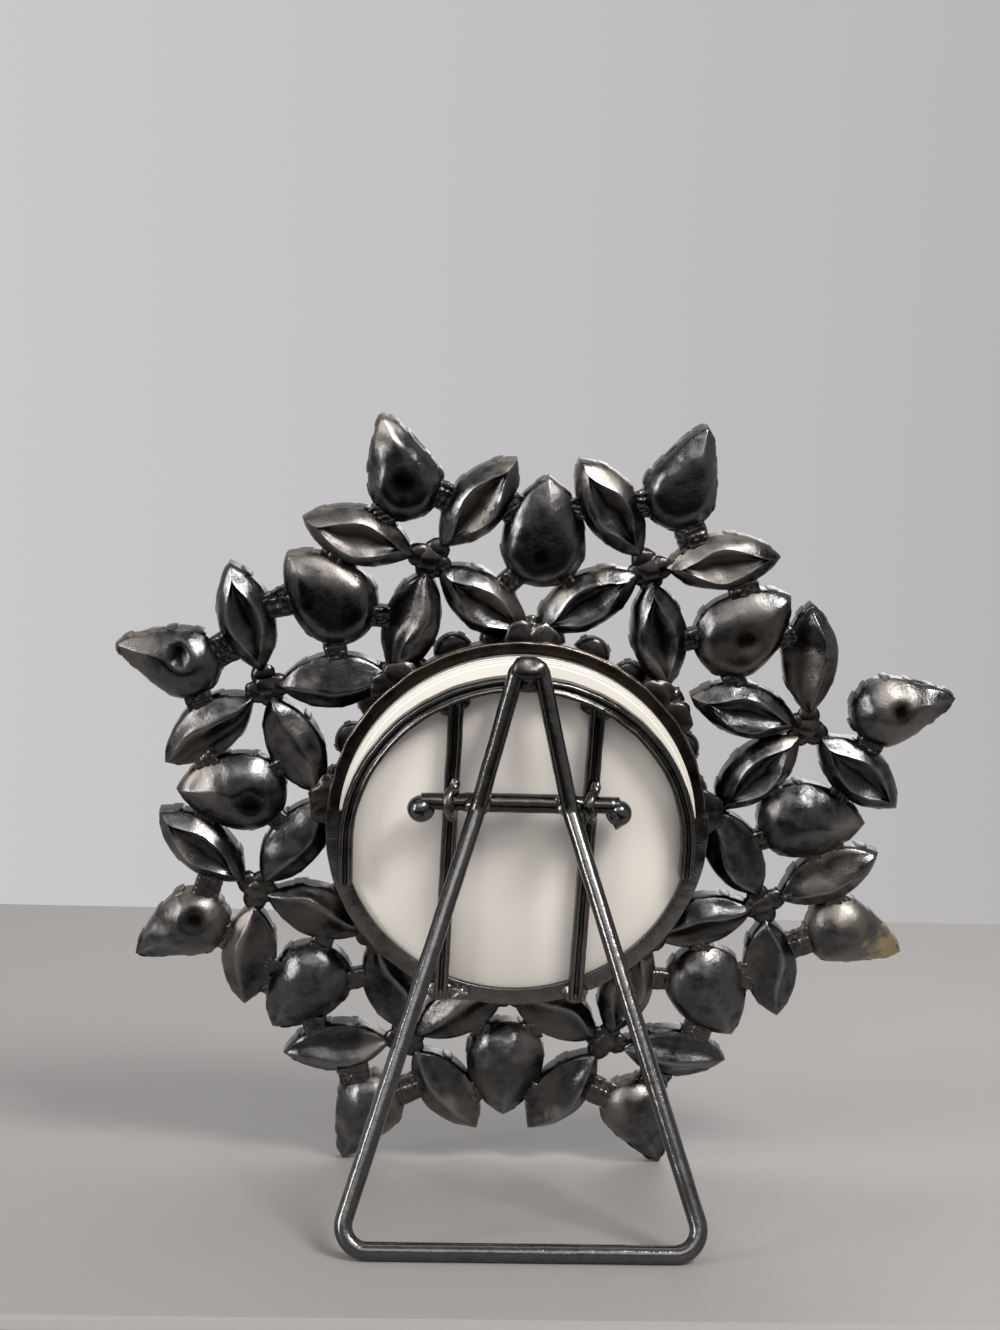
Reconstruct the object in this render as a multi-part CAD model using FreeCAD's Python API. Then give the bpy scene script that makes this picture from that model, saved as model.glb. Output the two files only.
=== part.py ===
import FreeCAD, Part
import math
import os

# Round photo frame: a wreath of foiled glass stones in stamped settings, soldered round a ring that holds
# a glass, a photo and a backing board, with a bent wire easel leg that turns in two eyelets behind.
# Lengths are millimetres and angles are degrees. +Z is up, the picture faces -Y and the leg is behind, at +Y.
# The frame is drawn upright, about the ring's centre with the ring's rear face at y = 0, and leans back last.
# Angles round the wreath run anticlockwise as seen from behind, from the viewer's right.

Vector = FreeCAD.Vector

# Stance
lean_angle = 17.4
spoke_count = 8

# Ring and what it holds
ring_tube_radius = 25.4
ring_wall = 2.6
ring_flange_overhang = 0.8
ring_flange_thickness = 0.9
ring_depth = 5.2
sheet_inset = 0.9
glass_thickness = 1.0
photo_thickness = 0.3
board_thickness = 1.2
sheet_clearance = 0.05
board_edge_step = 0.35
board_edge_inset = 0.7
lift_off_travel = 54.0

# Half-moon strip soldered behind the ring
strip_lip = 0.7
strip_thickness = 0.5
strip_end_height = 2.7
pocket_radial_clearance = 0.2
pocket_depth_clearance = 0.1

# Flat grooved wire of the hoop and the two struts
band_width = 2.1
band_thickness = 1.7
band_groove_width = 0.9
band_groove_depth = 0.45
hoop_inset = 1.1
hoop_drop = 1.85
hoop_left_end_height = -8.0
hoop_right_end_height = -6.0
strut_half_spacing = 9.45
strut_offset = 0.2
strut_tilt = 1.2
strut_lap = 0.8

# Round wire of the easel leg and its crossbar
wire_radius = 1.15
crossbar_height = 5.4
crossbar_overhang = 3.85
crossbar_running_clearance = 0.05
ball_radius = 1.8
ball_hang = 1.1
ball_sides = 10
ball_bands = 5
ball_latitude = 72.0
leg_offset = 0.4
leg_weld_bite = 0.03
leg_apex_half_width = 1.5
leg_apex_rise = 1.8
leg_knee_half_width = 6.15
leg_foot_half_width = 23.0
leg_splay = 19.5407
leg_apex_bend = 1.25
leg_knee_bend = 3.0
leg_foot_bend = 3.0
wire_sides = 12
wire_bend_flat_count = 4
leg_stop_clearance = 0.03
fold_past_parallel = 4.0

# Eyelets that hold the crossbar against the struts
eyelet_wire = 1.1
eyelet_height = 6.4
eyelet_foot_thickness = 0.7

# Stones, by length and width
navette_stone_length = 15.0
navette_stone_width = 7.0
pear_stone_length = 14.0
pear_stone_width = 9.2
between_stone_length = 14.5
between_stone_width = 10.6
round_stone_diameter = 4.8
stone_fit = 0.04
stone_seat_depth = 1.2
stone_crown_height = 2.4
stone_table_share = 0.6
round_stone_crown = 1.3

# Settings
setting_wall = 0.35
setting_depth = 4.2
setting_straight_wall = 2.0
setting_back_relief = 0.4
navette_back_share = 0.58
pear_back_shares = (0.82, 0.45)
pear_shoulder_share = 0.45
round_setting_count = 24
round_setting_inset = 0.8
round_setting_height = 1.2
round_setting_foot_share = 0.72
side_flat_count = 4
pear_side_flat_count = 2
pear_end_flat_count = 6
round_flat_count = 8

# Where the settings stand: the knot is the soldered meeting point of a flower's four navettes
knot_reach = 12.6
pear_gap = 5.7
outer_navette_gap = 2.1
inner_navette_gap = 1.5
between_reach = 14.1

# One row a flower, clockwise from the top left as seen from behind: the knot's swing from an even spacing,
# its radius as a share of knot_radius, the pear's gap as a share of pear_gap, then the degrees from the
# spoke to the pear, to the two outer navettes and to the two inner navettes. The wreath is set by hand,
# so no two flowers are alike.
flower_rows = (
    (-3.0, 1.00, 1.00, -3.0, 51.0, -61.0, 143.0, -151.0),
    (-2.0, 1.02, 1.05, 4.0, 57.0, -60.0, 142.0, -146.0),
    (-3.0, 1.09, 1.05, -9.0, 71.0, -63.0, 143.0, -157.0),
    (3.0, 0.98, 1.20, 4.0, 51.0, -57.0, 144.0, -141.0),
    (0.0, 0.98, 1.20, 2.0, 60.0, -60.0, 142.0, -145.0),
    (0.0, 0.98, 1.20, -2.0, 60.0, -60.0, 145.0, -142.0),
    (-4.0, 0.98, 0.90, 8.0, 62.0, -64.0, 138.0, -148.0),
    (-5.0, 1.01, 1.10, 7.0, 62.0, -52.0, 138.0, -151.0),
)

# One row a pear between flowers: swing from an even spacing, share of between_radius, turn from the spoke
between_rows = (
    (-3.0, 1.01, -2.0),
    (-2.0, 1.02, -4.0),
    (0.5, 1.03, -1.0),
    (2.5, 0.98, -16.0),
    (0.0, 0.98, 0.0),
    (-2.0, 0.99, 8.0),
    (-4.0, 0.98, -2.0),
    (-4.5, 1.02, -1.0),
)

# Order of a flower's settings in its list of places
inner_anticlockwise_index = 3
inner_clockwise_index = 4

# Solder and the grooved links between neighbouring settings
knot_solder_radius = 2.7
knot_solder_thickness = 2.0
knot_solder_sides = 8
knot_crown_share = 0.6
link_length = 3.2
link_thickness = 1.4
link_bite = 1.0
link_reach = 3.0
tip_solder_radius = 2.6
tip_solder_thickness = 1.6
tip_solder_offset = 0.6
cut_overrun = 1.0

# Depths worked out from the above, all along Y
ring_bore_radius = ring_tube_radius - ring_wall
ring_flange_radius = ring_tube_radius + ring_flange_overhang
sheet_radius = ring_tube_radius - sheet_inset
strip_outer_radius = ring_flange_radius
strip_inner_radius = sheet_radius - strip_lip
hoop_radius = sheet_radius - hoop_inset
hoop_top = hoop_radius + band_width / 2 - hoop_drop
strut_end_height = -(strip_inner_radius + strut_lap)
crossbar_half_length = strut_half_spacing + crossbar_overhang
leg_apex_height = hoop_top + leg_apex_rise
round_setting_circle = ring_tube_radius - round_setting_inset
knot_radius = ring_flange_radius + knot_reach
between_radius = ring_flange_radius + between_reach

glass_front = sheet_clearance
photo_front = glass_front + glass_thickness
board_front = photo_front + photo_thickness
board_rear = board_front + board_thickness
strip_front = board_rear + pocket_depth_clearance
strip_rear = strip_front + strip_thickness
band_rear = strip_rear + band_thickness
crossbar_depth = band_rear + crossbar_running_clearance + wire_radius
setting_back = -setting_back_relief
setting_rim = setting_back - setting_depth
setting_wall_end = setting_rim + setting_straight_wall

navette_size = (navette_stone_length + 2 * setting_wall, navette_stone_width + 2 * setting_wall)
pear_size = (pear_stone_length + 2 * setting_wall, pear_stone_width + 2 * setting_wall)
between_size = (between_stone_length + 2 * setting_wall, between_stone_width + 2 * setting_wall)


def polar(radius, angle):
    """Across and up, as seen from behind, of a point at a radius and an angle."""
    return (radius * math.cos(math.radians(angle)), radius * math.sin(math.radians(angle)))


def stepped(start, distance, angle):
    across, up = polar(distance, angle)
    return (start[0] + across, start[1] + up)


def closed_wire(points):
    return Part.makePolygon(list(points) + [points[0]])


def flat_face(points):
    return Part.Face(closed_wire(points))


def solid_between(rings):
    """A solid with flat sides through rings of corners, each a scaled copy of the last."""
    faces = [flat_face(rings[0]), flat_face(rings[-1])]
    for front, rear in zip(rings, rings[1:]):
        for corner in range(len(front)):
            faces.append(flat_face([front[corner - 1], front[corner], rear[corner], rear[corner - 1]]))
    return Part.makeSolid(Part.makeShell(faces))


def layered_solid(layers):
    """A flat-sided solid through (outline, depth) layers."""
    return solid_between([[Vector(along, depth, across) for along, across in outline]
                          for outline, depth in layers])


def scaled(outline, share):
    return [(along * share, across * share) for along, across in outline]


def arc_flats(centre, radius, start, end, flats):
    """Corner points of an arc cut into short flats, which keeps forty-eight settings light."""
    turns = [start + (end - start) * step / flats for step in range(flats + 1)]
    return [stepped(centre, radius, turn) for turn in turns]


def navette_outline(length, width):
    """A pointed oval of two equal arcs, about its middle."""
    half_length = length / 2
    half_width = width / 2
    radius = (half_length ** 2 + half_width ** 2) / (2 * half_width)
    sweep = math.degrees(math.asin(half_length / radius))
    upper = arc_flats((0, half_width - radius), radius, 90 - sweep, 90 + sweep, side_flat_count)
    lower = [(-along, -across) for along, across in upper]
    return upper[:-1] + lower[:-1]


def pear_outline(length, width):
    """A drop about the centre of its round end, with the tip ahead."""
    end_radius = width / 2
    tip_reach = length - end_radius
    side_radius = (tip_reach ** 2 + end_radius ** 2) / (2 * end_radius)
    sweep = math.degrees(math.asin(tip_reach / side_radius))
    side = arc_flats((0, end_radius - side_radius), side_radius, 90 - sweep, 90, pear_side_flat_count)
    end = arc_flats((0, 0), end_radius, 90, 270, pear_end_flat_count)
    other_side = [(along, -across) for along, across in reversed(side)]
    return side[:-1] + end[:-1] + other_side[:-1]


def round_outline(diameter, flats):
    return arc_flats((0, 0), diameter / 2, 0, 360, flats)[:-1]


def cup(outline, back_layers, stone_outline):
    """A setting: straight wall, tapered back and a seat for its stone in the front."""
    body = layered_solid([(outline, setting_rim), (outline, setting_wall_end)] + back_layers)
    seat = layered_solid([(stone_outline, setting_rim - cut_overrun),
                          (stone_outline, setting_rim + stone_seat_depth)])
    return body.cut(seat)


def stone(outline, seat_depth, crown_height):
    """A flat-backed stone whose sides slope from its seat to its table."""
    table = scaled(outline, stone_table_share)
    return layered_solid([(outline, seat_depth), (table, seat_depth - crown_height)])


def navette_pair():
    outline = navette_outline(*navette_size)
    seat = navette_outline(navette_stone_length + 2 * stone_fit, navette_stone_width + 2 * stone_fit)
    back = [(scaled(outline, navette_back_share), setting_back)]
    gem = navette_outline(navette_stone_length, navette_stone_width)
    return cup(outline, back, seat), stone(gem, setting_rim + stone_seat_depth, stone_crown_height)


def pear_pair(size, stone_length, stone_width):
    outline = pear_outline(*size)
    seat = pear_outline(stone_length + 2 * stone_fit, stone_width + 2 * stone_fit)
    shoulder_share, crown_share = pear_back_shares
    taper = setting_back - setting_wall_end
    back = [(scaled(outline, shoulder_share), setting_wall_end + taper * pear_shoulder_share),
            (scaled(outline, crown_share), setting_back)]
    gem = pear_outline(stone_length, stone_width)
    return cup(outline, back, seat), stone(gem, setting_rim + stone_seat_depth, stone_crown_height)


def placed(shape, centre, direction):
    """A copy whose own +X points along a direction of the wreath, with its origin at a centre."""
    copy = shape.copy()
    copy.Placement = FreeCAD.Placement(Vector(-centre[0], 0, centre[1]),
                                       FreeCAD.Rotation(Vector(0, 1, 0), 180 + direction))
    return copy


def spoke_angle(index, offset):
    return 90 + offset - index * 360 / spoke_count


def flower_places(index):
    """(kind, centre, direction) of each setting of one flower, and the knot they meet at."""
    swing, knot_share, gap_share, pear_turn, *navette_turns = flower_rows[index]
    spoke = spoke_angle(index, 180 / spoke_count)
    knot = polar(knot_radius * knot_share, spoke + swing)
    reach = pear_gap * gap_share + pear_size[1] / 2
    places = [("pear", stepped(knot, reach, spoke + pear_turn), spoke + pear_turn)]
    gaps = (outer_navette_gap, outer_navette_gap, inner_navette_gap, inner_navette_gap)
    for gap, turn in zip(gaps, navette_turns):
        reach = gap + navette_size[0] / 2
        places.append(("navette", stepped(knot, reach, spoke + turn), spoke + turn))
    return knot, places


def between_place(index):
    swing, share, turn = between_rows[index]
    spoke = spoke_angle(index, 0)
    middle = polar(between_radius * share, spoke + swing)
    return stepped(middle, between_size[1] / 2 - between_size[0] / 2, spoke + turn), spoke + turn


def faceted_button(radius, sides, crown_share, base_depth, top_depth):
    outline = round_outline(2 * radius, sides)
    return layered_solid([(outline, base_depth), (scaled(outline, crown_share), top_depth)])


def tip_solder_place(first, second):
    """Where two neighbouring flowers' inner navettes meet the ring, from their places."""
    tips = [stepped(centre, navette_size[0] / 2, direction) for _, centre, direction in (first, second)]
    across = sum(tip[0] for tip in tips)
    up = sum(tip[1] for tip in tips)
    return polar(ring_flange_radius + tip_solder_offset, math.degrees(math.atan2(up, across)))


def without(shape, neighbours):
    """The largest piece that its neighbours leave of a shape, so that they meet face to face."""
    near = [other for other in neighbours if shape.BoundBox.intersect(other.BoundBox)]
    return max(shape.cut(near).Solids, key=lambda solid: solid.Volume)


def link_between(first, second):
    """A short bar across the narrowest gap between two settings, let into the walls of both."""
    gap, pairs, _ = first.distToShape(second)
    start, end = pairs[0]
    across = Vector(end.x - start.x, 0, end.z - start.z)
    if gap > link_reach or across.Length == 0:
        return None
    width = across.Length + 2 * link_bite
    across.normalize()
    bar = Part.makeBox(width, link_thickness, link_length,
                       Vector(-width / 2, setting_wall_end - link_thickness / 2, -link_length / 2))
    turn = math.degrees(math.atan2(across.z, across.x))
    middle = (start + end) * 0.5
    bar.Placement = FreeCAD.Placement(Vector(middle.x, 0, middle.z), FreeCAD.Rotation(Vector(0, 1, 0), -turn))
    return without(bar, [first, second])


def revolved(section):
    """A full ring from a section of (radius, depth) points."""
    face = Part.Face(closed_wire([Vector(radius, depth, 0) for radius, depth in section]))
    return face.revolve(Vector(0, 0, 0), Vector(0, 1, 0), 360)


def half_turned(section, start, sweep):
    """Part of a ring, swept from an angle seen from behind."""
    face = Part.Face(closed_wire([Vector(-radius, depth, 0) for radius, depth in section]))
    face.rotate(Vector(0, 0, 0), Vector(0, 1, 0), start)
    return face.revolve(Vector(0, 0, 0), Vector(0, 1, 0), sweep)


def disc(radius, front, rear):
    return Part.makeCylinder(radius, rear - front, Vector(0, front, 0), Vector(0, 1, 0))


def band_section():
    """Half-section corners of the flat wire: (across, depth), with one groove along its rear face."""
    half = band_width / 2
    groove = band_groove_width / 2
    return [(-half, strip_rear), (half, strip_rear), (half, band_rear), (groove, band_rear),
            (0, band_rear - band_groove_depth), (-groove, band_rear), (-half, band_rear)]


def band_run(start, end):
    """A straight length of the flat wire between two (across, up) points."""
    path = Vector(-(end[0] - start[0]), 0, end[1] - start[1])
    side = Vector(path.z, 0, -path.x).normalize()
    base = Vector(-start[0], 0, start[1])
    corners = [base + side * across + Vector(0, depth, 0) for across, depth in band_section()]
    return Part.Face(closed_wire(corners)).extrude(path)


def build_ring():
    section = [(ring_bore_radius, 0), (ring_flange_radius, 0),
               (ring_flange_radius, -ring_flange_thickness), (ring_tube_radius, -ring_flange_thickness),
               (ring_tube_radius, -ring_depth), (ring_bore_radius, -ring_depth)]
    return revolved(section)


def build_sheets():
    glass = disc(sheet_radius, glass_front, glass_front + glass_thickness)
    photo = disc(sheet_radius, photo_front, photo_front + photo_thickness)
    edge = [(0, board_front), (sheet_radius, board_front), (sheet_radius, board_rear - board_edge_step),
            (sheet_radius - board_edge_inset, board_rear), (0, board_rear)]
    return glass, photo, revolved(edge)


def build_strip():
    pocket_radius = sheet_radius + pocket_radial_clearance
    section = [(pocket_radius, 0), (strip_outer_radius, 0), (strip_outer_radius, strip_rear),
               (strip_inner_radius, strip_rear), (strip_inner_radius, strip_front),
               (pocket_radius, strip_front)]
    over = math.degrees(math.asin(strip_end_height / strip_outer_radius))
    return half_turned(section, 180 - over, 180 + 2 * over)


def build_hoop():
    centre = (0, -hoop_drop)
    section = [(hoop_radius + across, depth) for across, depth in band_section()]
    arch = half_turned(section, 0, 180)
    arch.translate(Vector(0, 0, centre[1]))
    left = band_run((-hoop_radius, centre[1]), (-hoop_radius, hoop_left_end_height))
    right = band_run((hoop_radius, centre[1]), (hoop_radius, hoop_right_end_height))
    return arch.fuse([left, right]).removeSplitter()


def strut_line(side):
    """The lower end and the upper end, under the hoop, of one strut; side is -1 or 1 from behind."""
    middle = (strut_offset + side * strut_half_spacing, crossbar_height)
    slope = math.tan(math.radians(strut_tilt))
    lower = (middle[0] + (strut_end_height - middle[1]) * slope, strut_end_height)
    upper_height = hoop_radius - hoop_drop
    upper = (middle[0] + (upper_height - middle[1]) * slope, upper_height)
    return lower, middle, upper


def build_strut(side, hoop):
    lower, _, upper = strut_line(side)
    trimmed = band_run(lower, upper).cut(hoop)
    return max(trimmed.Solids, key=lambda solid: solid.Volume)


def build_eyelet(side):
    """A flattened wire arched over the crossbar, with two feet on the strut."""
    _, middle, _ = strut_line(side)
    inner = wire_radius + crossbar_running_clearance
    outer = inner + eyelet_wire
    half_height = eyelet_height / 2
    foot_rear = band_rear + eyelet_foot_thickness
    centre = Vector(0, crossbar_depth, 0)
    blank = Part.makeCylinder(outer, eyelet_wire, centre, Vector(1, 0, 0))
    foot = Part.makeBox(eyelet_wire, crossbar_depth - band_rear, 2 * outer, Vector(0, band_rear, -outer))
    feet = Part.makeBox(eyelet_wire, foot_rear - band_rear, 2 * half_height,
                        Vector(0, band_rear, -half_height))
    hole = Part.makeCylinder(inner, eyelet_wire, centre, Vector(1, 0, 0))
    slot = Part.makeBox(eyelet_wire, crossbar_depth - band_rear, 2 * inner, Vector(0, band_rear, -inner))
    below = Part.makeBox(eyelet_wire, outer, 4 * outer, Vector(0, band_rear - outer, -2 * outer))
    eyelet = blank.fuse([foot, feet]).cut([hole, slot, below]).removeSplitter()
    eyelet.translate(Vector(-middle[0] - eyelet_wire / 2, 0, middle[1]))
    return eyelet


def faceted_ball(radius, centre):
    """A hammered ball with flat sides, in bands about the X axis."""
    rings = []
    for band in range(ball_bands + 1):
        ring_radius, offset = polar(radius, ball_latitude * (2 * band / ball_bands - 1))
        corners = [polar(ring_radius, 360 * side / ball_sides) for side in range(ball_sides)]
        rings.append([centre + Vector(offset, y, z) for y, z in corners])
    return solid_between(rings)


def build_crossbar():
    bar = Part.makeCylinder(wire_radius, 2 * crossbar_half_length,
                            Vector(-crossbar_half_length, crossbar_depth, crossbar_height), Vector(1, 0, 0))
    balls = [faceted_ball(ball_radius, Vector(side * crossbar_half_length, crossbar_depth,
                                              crossbar_height - ball_hang)) for side in (-1, 1)]
    return bar.fuse(balls)


def bend_points(before, corner, after, radius):
    """Points round the bend at a corner of a wire."""
    back = (before - corner).normalize()
    ahead = (after - corner).normalize()
    half_angle = back.getAngle(ahead) / 2
    centre = corner + (back + ahead).normalize() * (radius / math.sin(half_angle))
    first = corner + back * (radius / math.tan(half_angle)) - centre
    turn = math.degrees(2 * half_angle) - 180
    return [centre + FreeCAD.Rotation(back.cross(ahead), turn * step / wire_bend_flat_count).multVec(first)
            for step in range(wire_bend_flat_count + 1)]


def bent_wire(corners, bends):
    """A flat-sided wire from the first corner to the last, mitred along its way round the others."""
    path = [corners[0]]
    for index, radius in enumerate(bends, start=1):
        path += bend_points(corners[index - 1], corners[index], corners[index + 1], radius)
    path.append(corners[-1])
    runs = [(end - start).normalize() for start, end in zip(path, path[1:])]
    turned = FreeCAD.Rotation(Vector(0, 0, 1), runs[0])
    spots = [polar(wire_radius, 360 * (side + 0.5) / wire_sides) for side in range(wire_sides)]
    rings = [[path[0] + turned.multVec(Vector(x, y, 0)) for x, y in spots]]
    for here, run, following in zip(path[1:], runs, runs[1:] + runs[-1:]):
        mitre = run + following
        rings.append([spot + run * ((here - spot).dot(mitre) / run.dot(mitre)) for spot in rings[-1]])
    return solid_between(rings)


def leg_opening():
    """Depth of the leg's arms at the crossbar, their angle off the frame's plane and their length below."""
    lean = math.radians(lean_angle)
    knee_lap = 2 * wire_radius - leg_weld_bite
    hinge_above_floor = floor_drop() + crossbar_height * math.cos(lean) - crossbar_depth * math.sin(lean)
    knee_above_floor = hinge_above_floor - knee_lap * math.sin(lean)
    lower_length = (knee_above_floor - wire_radius) / math.cos(math.radians(leg_splay))
    return crossbar_depth + knee_lap, math.radians(leg_splay + lean_angle), lower_length


def build_leg():
    """The leg in its open pose: the right half, seen from behind, and its mirror image."""
    knee_depth, open_angle, lower_length = leg_opening()
    rest_depth = band_rear + leg_stop_clearance + wire_radius
    slope = (rest_depth - knee_depth) / (hoop_top - crossbar_height)
    apex_depth = knee_depth + slope * (leg_apex_height - crossbar_height)
    foot_depth = knee_depth + lower_length * math.sin(open_angle)
    foot_height = crossbar_height - lower_length * math.cos(open_angle)
    corners = [Vector(0, foot_depth, foot_height), Vector(-leg_foot_half_width, foot_depth, foot_height),
               Vector(-leg_knee_half_width, knee_depth, crossbar_height),
               Vector(-leg_apex_half_width, apex_depth, leg_apex_height),
               Vector(0, apex_depth, leg_apex_height)]
    half = bent_wire(corners, [leg_foot_bend, leg_knee_bend, leg_apex_bend])
    leg = half.fuse(half.mirror(Vector(0, 0, 0), Vector(1, 0, 0))).removeSplitter()
    leg.translate(Vector(-leg_offset, 0, 0))
    return leg


def floor_drop():
    """How far the lowest petal tip stands below the ring's centre once the frame leans."""
    lean = math.radians(lean_angle)
    tip_reach = pear_size[0] - pear_size[1] / 2
    tips = []
    for index in range(spoke_count):
        _, places = flower_places(index)
        _, centre, direction = places[0]
        tips.append(stepped(centre, tip_reach, direction)[1])
    return -(min(tips) * math.cos(lean) - setting_wall_end * math.sin(lean))


def stood_up(shape):
    """Lean the upright drawing back and set it down on z = 0."""
    standing = shape.copy()
    standing.rotate(Vector(0, 0, 0), Vector(1, 0, 0), -lean_angle)
    standing.translate(Vector(0, 0, floor_drop()))
    return standing


def build_round_settings():
    rim = round_outline(round_stone_diameter + 2 * setting_wall, round_flat_count)
    foot = scaled(rim, round_setting_foot_share)
    rim_depth = -ring_depth - round_setting_height
    cup_shape = layered_solid([(foot, -ring_depth), (rim, rim_depth)])
    gem = round_outline(round_stone_diameter, round_flat_count)
    gem_shape = stone(gem, rim_depth, round_stone_crown)
    cups = []
    gems = []
    for index in range(round_setting_count):
        angle = 90 + 360 * (index + 0.5) / round_setting_count
        cups.append(placed(cup_shape, polar(round_setting_circle, angle), angle))
        gems.append(placed(gem_shape, polar(round_setting_circle, angle), angle))
    return cups, gems


def build_parts():
    parts = {}
    ring = build_ring()
    parts["ring"] = [ring]
    glass, photo, board = build_sheets()
    parts["cover_glass"] = [glass]
    parts["photo_insert"] = [photo]
    parts["backing_board"] = [board]
    strip = build_strip()
    hoop = build_hoop()
    struts = [build_strut(side, hoop) for side in (-1, 1)]
    parts["half_moon_strip"] = [strip]
    parts["wire_hoop"] = [hoop]
    parts["left_strut"] = [struts[0]]
    parts["right_strut"] = [struts[1]]
    parts["left_eyelet"] = [build_eyelet(-1)]
    parts["right_eyelet"] = [build_eyelet(1)]
    parts["easel_leg"] = [build_leg()]
    parts["crossbar"] = [build_crossbar()]
    parts["round_settings"], parts["round_stones"] = build_round_settings()

    navette_cup, navette_gem = navette_pair()
    pear_cup, pear_gem = pear_pair(pear_size, pear_stone_length, pear_stone_width)
    between_cup, between_gem = pear_pair(between_size, between_stone_length, between_stone_width)
    shapes = {"navette": (navette_cup, navette_gem), "pear": (pear_cup, pear_gem)}
    flowers = []
    betweens = []
    for index in range(spoke_count):
        knot, places = flower_places(index)
        cups = [placed(shapes[kind][0], centre, direction) for kind, centre, direction in places]
        gems = [placed(shapes[kind][1], centre, direction) for kind, centre, direction in places]
        flowers.append((knot, places, cups))
        parts["flower_%d" % (index + 1)] = cups
        parts["flower_stones_%d" % (index + 1)] = gems
        centre, direction = between_place(index)
        betweens.append(placed(between_cup, centre, direction))
        parts["between_pear_%d" % (index + 1)] = [betweens[-1]]
        parts["between_stone_%d" % (index + 1)] = [placed(between_gem, centre, direction)]

    for index, (knot, places, cups) in enumerate(flowers):
        _, next_places, next_cups = flowers[(index + 1) % spoke_count]
        after = betweens[index]
        before = betweens[index - 1]
        knot_front = setting_wall_end - knot_solder_thickness / 2
        button = faceted_button(knot_solder_radius, knot_solder_sides, knot_crown_share,
                                knot_front, knot_front + knot_solder_thickness)
        solder = [without(placed(button, knot, 0), cups)]
        meeting = tip_solder_place(places[inner_clockwise_index], next_places[inner_anticlockwise_index])
        bead = faceted_button(tip_solder_radius, knot_solder_sides, knot_crown_share,
                              setting_wall_end - tip_solder_thickness / 2,
                              setting_wall_end + tip_solder_thickness / 2)
        solder.append(without(placed(bead, meeting, 0), cups + next_cups + [ring]))
        pairs = [(cups[0], cups[1]), (cups[0], cups[2]), (cups[1], before), (cups[2], after)]
        links = [link_between(first, second) for first, second in pairs]
        solder.extend(link for link in links if link is not None)
        parts["flower_solder_%d" % (index + 1)] = solder
    return parts


def joint_values():
    _, open_angle, _ = leg_opening()
    hinge = stood_up(Part.Vertex(0, crossbar_depth, crossbar_height)).Point
    lean = math.radians(lean_angle)
    return {"leg_hinge_mm": tuple(hinge), "leg_fold_deg": math.degrees(open_angle) + fold_past_parallel,
            "slide_axis": (0, math.sin(lean), math.cos(lean)), "slide_travel_mm": lift_off_travel}


def main():
    os.makedirs("parts", exist_ok=True)
    for name, solids in build_parts().items():
        pieces = [solid for shape in solids for solid in shape.Solids]
        stood_up(Part.makeCompound(pieces)).exportStep("parts/%s.step" % name)
    for name, value in joint_values().items():
        print(name, value)


main()
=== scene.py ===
from math import acos, asin, atan2, cos, degrees, dist, exp, pi, radians, sin, sqrt, tan

import bmesh
import bpy
from mathutils import Matrix, Vector, noise


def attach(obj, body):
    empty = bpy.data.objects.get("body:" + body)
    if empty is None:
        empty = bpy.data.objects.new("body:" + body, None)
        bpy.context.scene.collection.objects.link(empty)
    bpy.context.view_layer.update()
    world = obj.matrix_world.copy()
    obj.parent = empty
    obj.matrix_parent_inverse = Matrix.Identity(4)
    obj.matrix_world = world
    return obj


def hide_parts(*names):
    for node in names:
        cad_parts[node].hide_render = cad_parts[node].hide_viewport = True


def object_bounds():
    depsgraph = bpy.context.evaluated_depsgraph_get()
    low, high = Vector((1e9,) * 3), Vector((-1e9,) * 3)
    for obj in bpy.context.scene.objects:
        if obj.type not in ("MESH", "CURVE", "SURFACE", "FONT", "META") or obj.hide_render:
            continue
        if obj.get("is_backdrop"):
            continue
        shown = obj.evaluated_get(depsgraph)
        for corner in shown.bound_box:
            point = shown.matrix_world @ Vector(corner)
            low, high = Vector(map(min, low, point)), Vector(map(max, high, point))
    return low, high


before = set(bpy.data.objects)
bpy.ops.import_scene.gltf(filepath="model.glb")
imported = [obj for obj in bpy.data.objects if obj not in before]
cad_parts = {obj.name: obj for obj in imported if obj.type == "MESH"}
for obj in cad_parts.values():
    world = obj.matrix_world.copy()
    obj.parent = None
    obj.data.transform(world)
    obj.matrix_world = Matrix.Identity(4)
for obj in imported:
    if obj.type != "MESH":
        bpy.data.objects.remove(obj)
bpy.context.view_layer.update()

# The drawing is upright, in millimetres about the ring's centre: x across, y towards the rear, z up.
# Settings and spokes are placed by (across, up) as seen from behind, so x = -across.
LEAN = radians(17.4)
DROP = 51.448
MM = 0.001


def stand(x, y, z):
    """A point of the upright drawing, leaned back on its petal tips, in metres."""
    return Vector((x, y * cos(LEAN) + z * sin(LEAN),
                   z * cos(LEAN) - y * sin(LEAN) + DROP)) * MM


def polar(radius, angle):
    """The (across, up) of a radius and an angle in degrees."""
    return (radius * cos(radians(angle)), radius * sin(radians(angle)))


def stepped(start, distance, angle):
    """The (across, up) that lies a distance from a start, at an angle in degrees."""
    across, up = polar(distance, angle)
    return (start[0] + across, start[1] + up)


def circle(radius, count):
    return [polar(radius, 360 * k / count) for k in range(count)]


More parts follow.
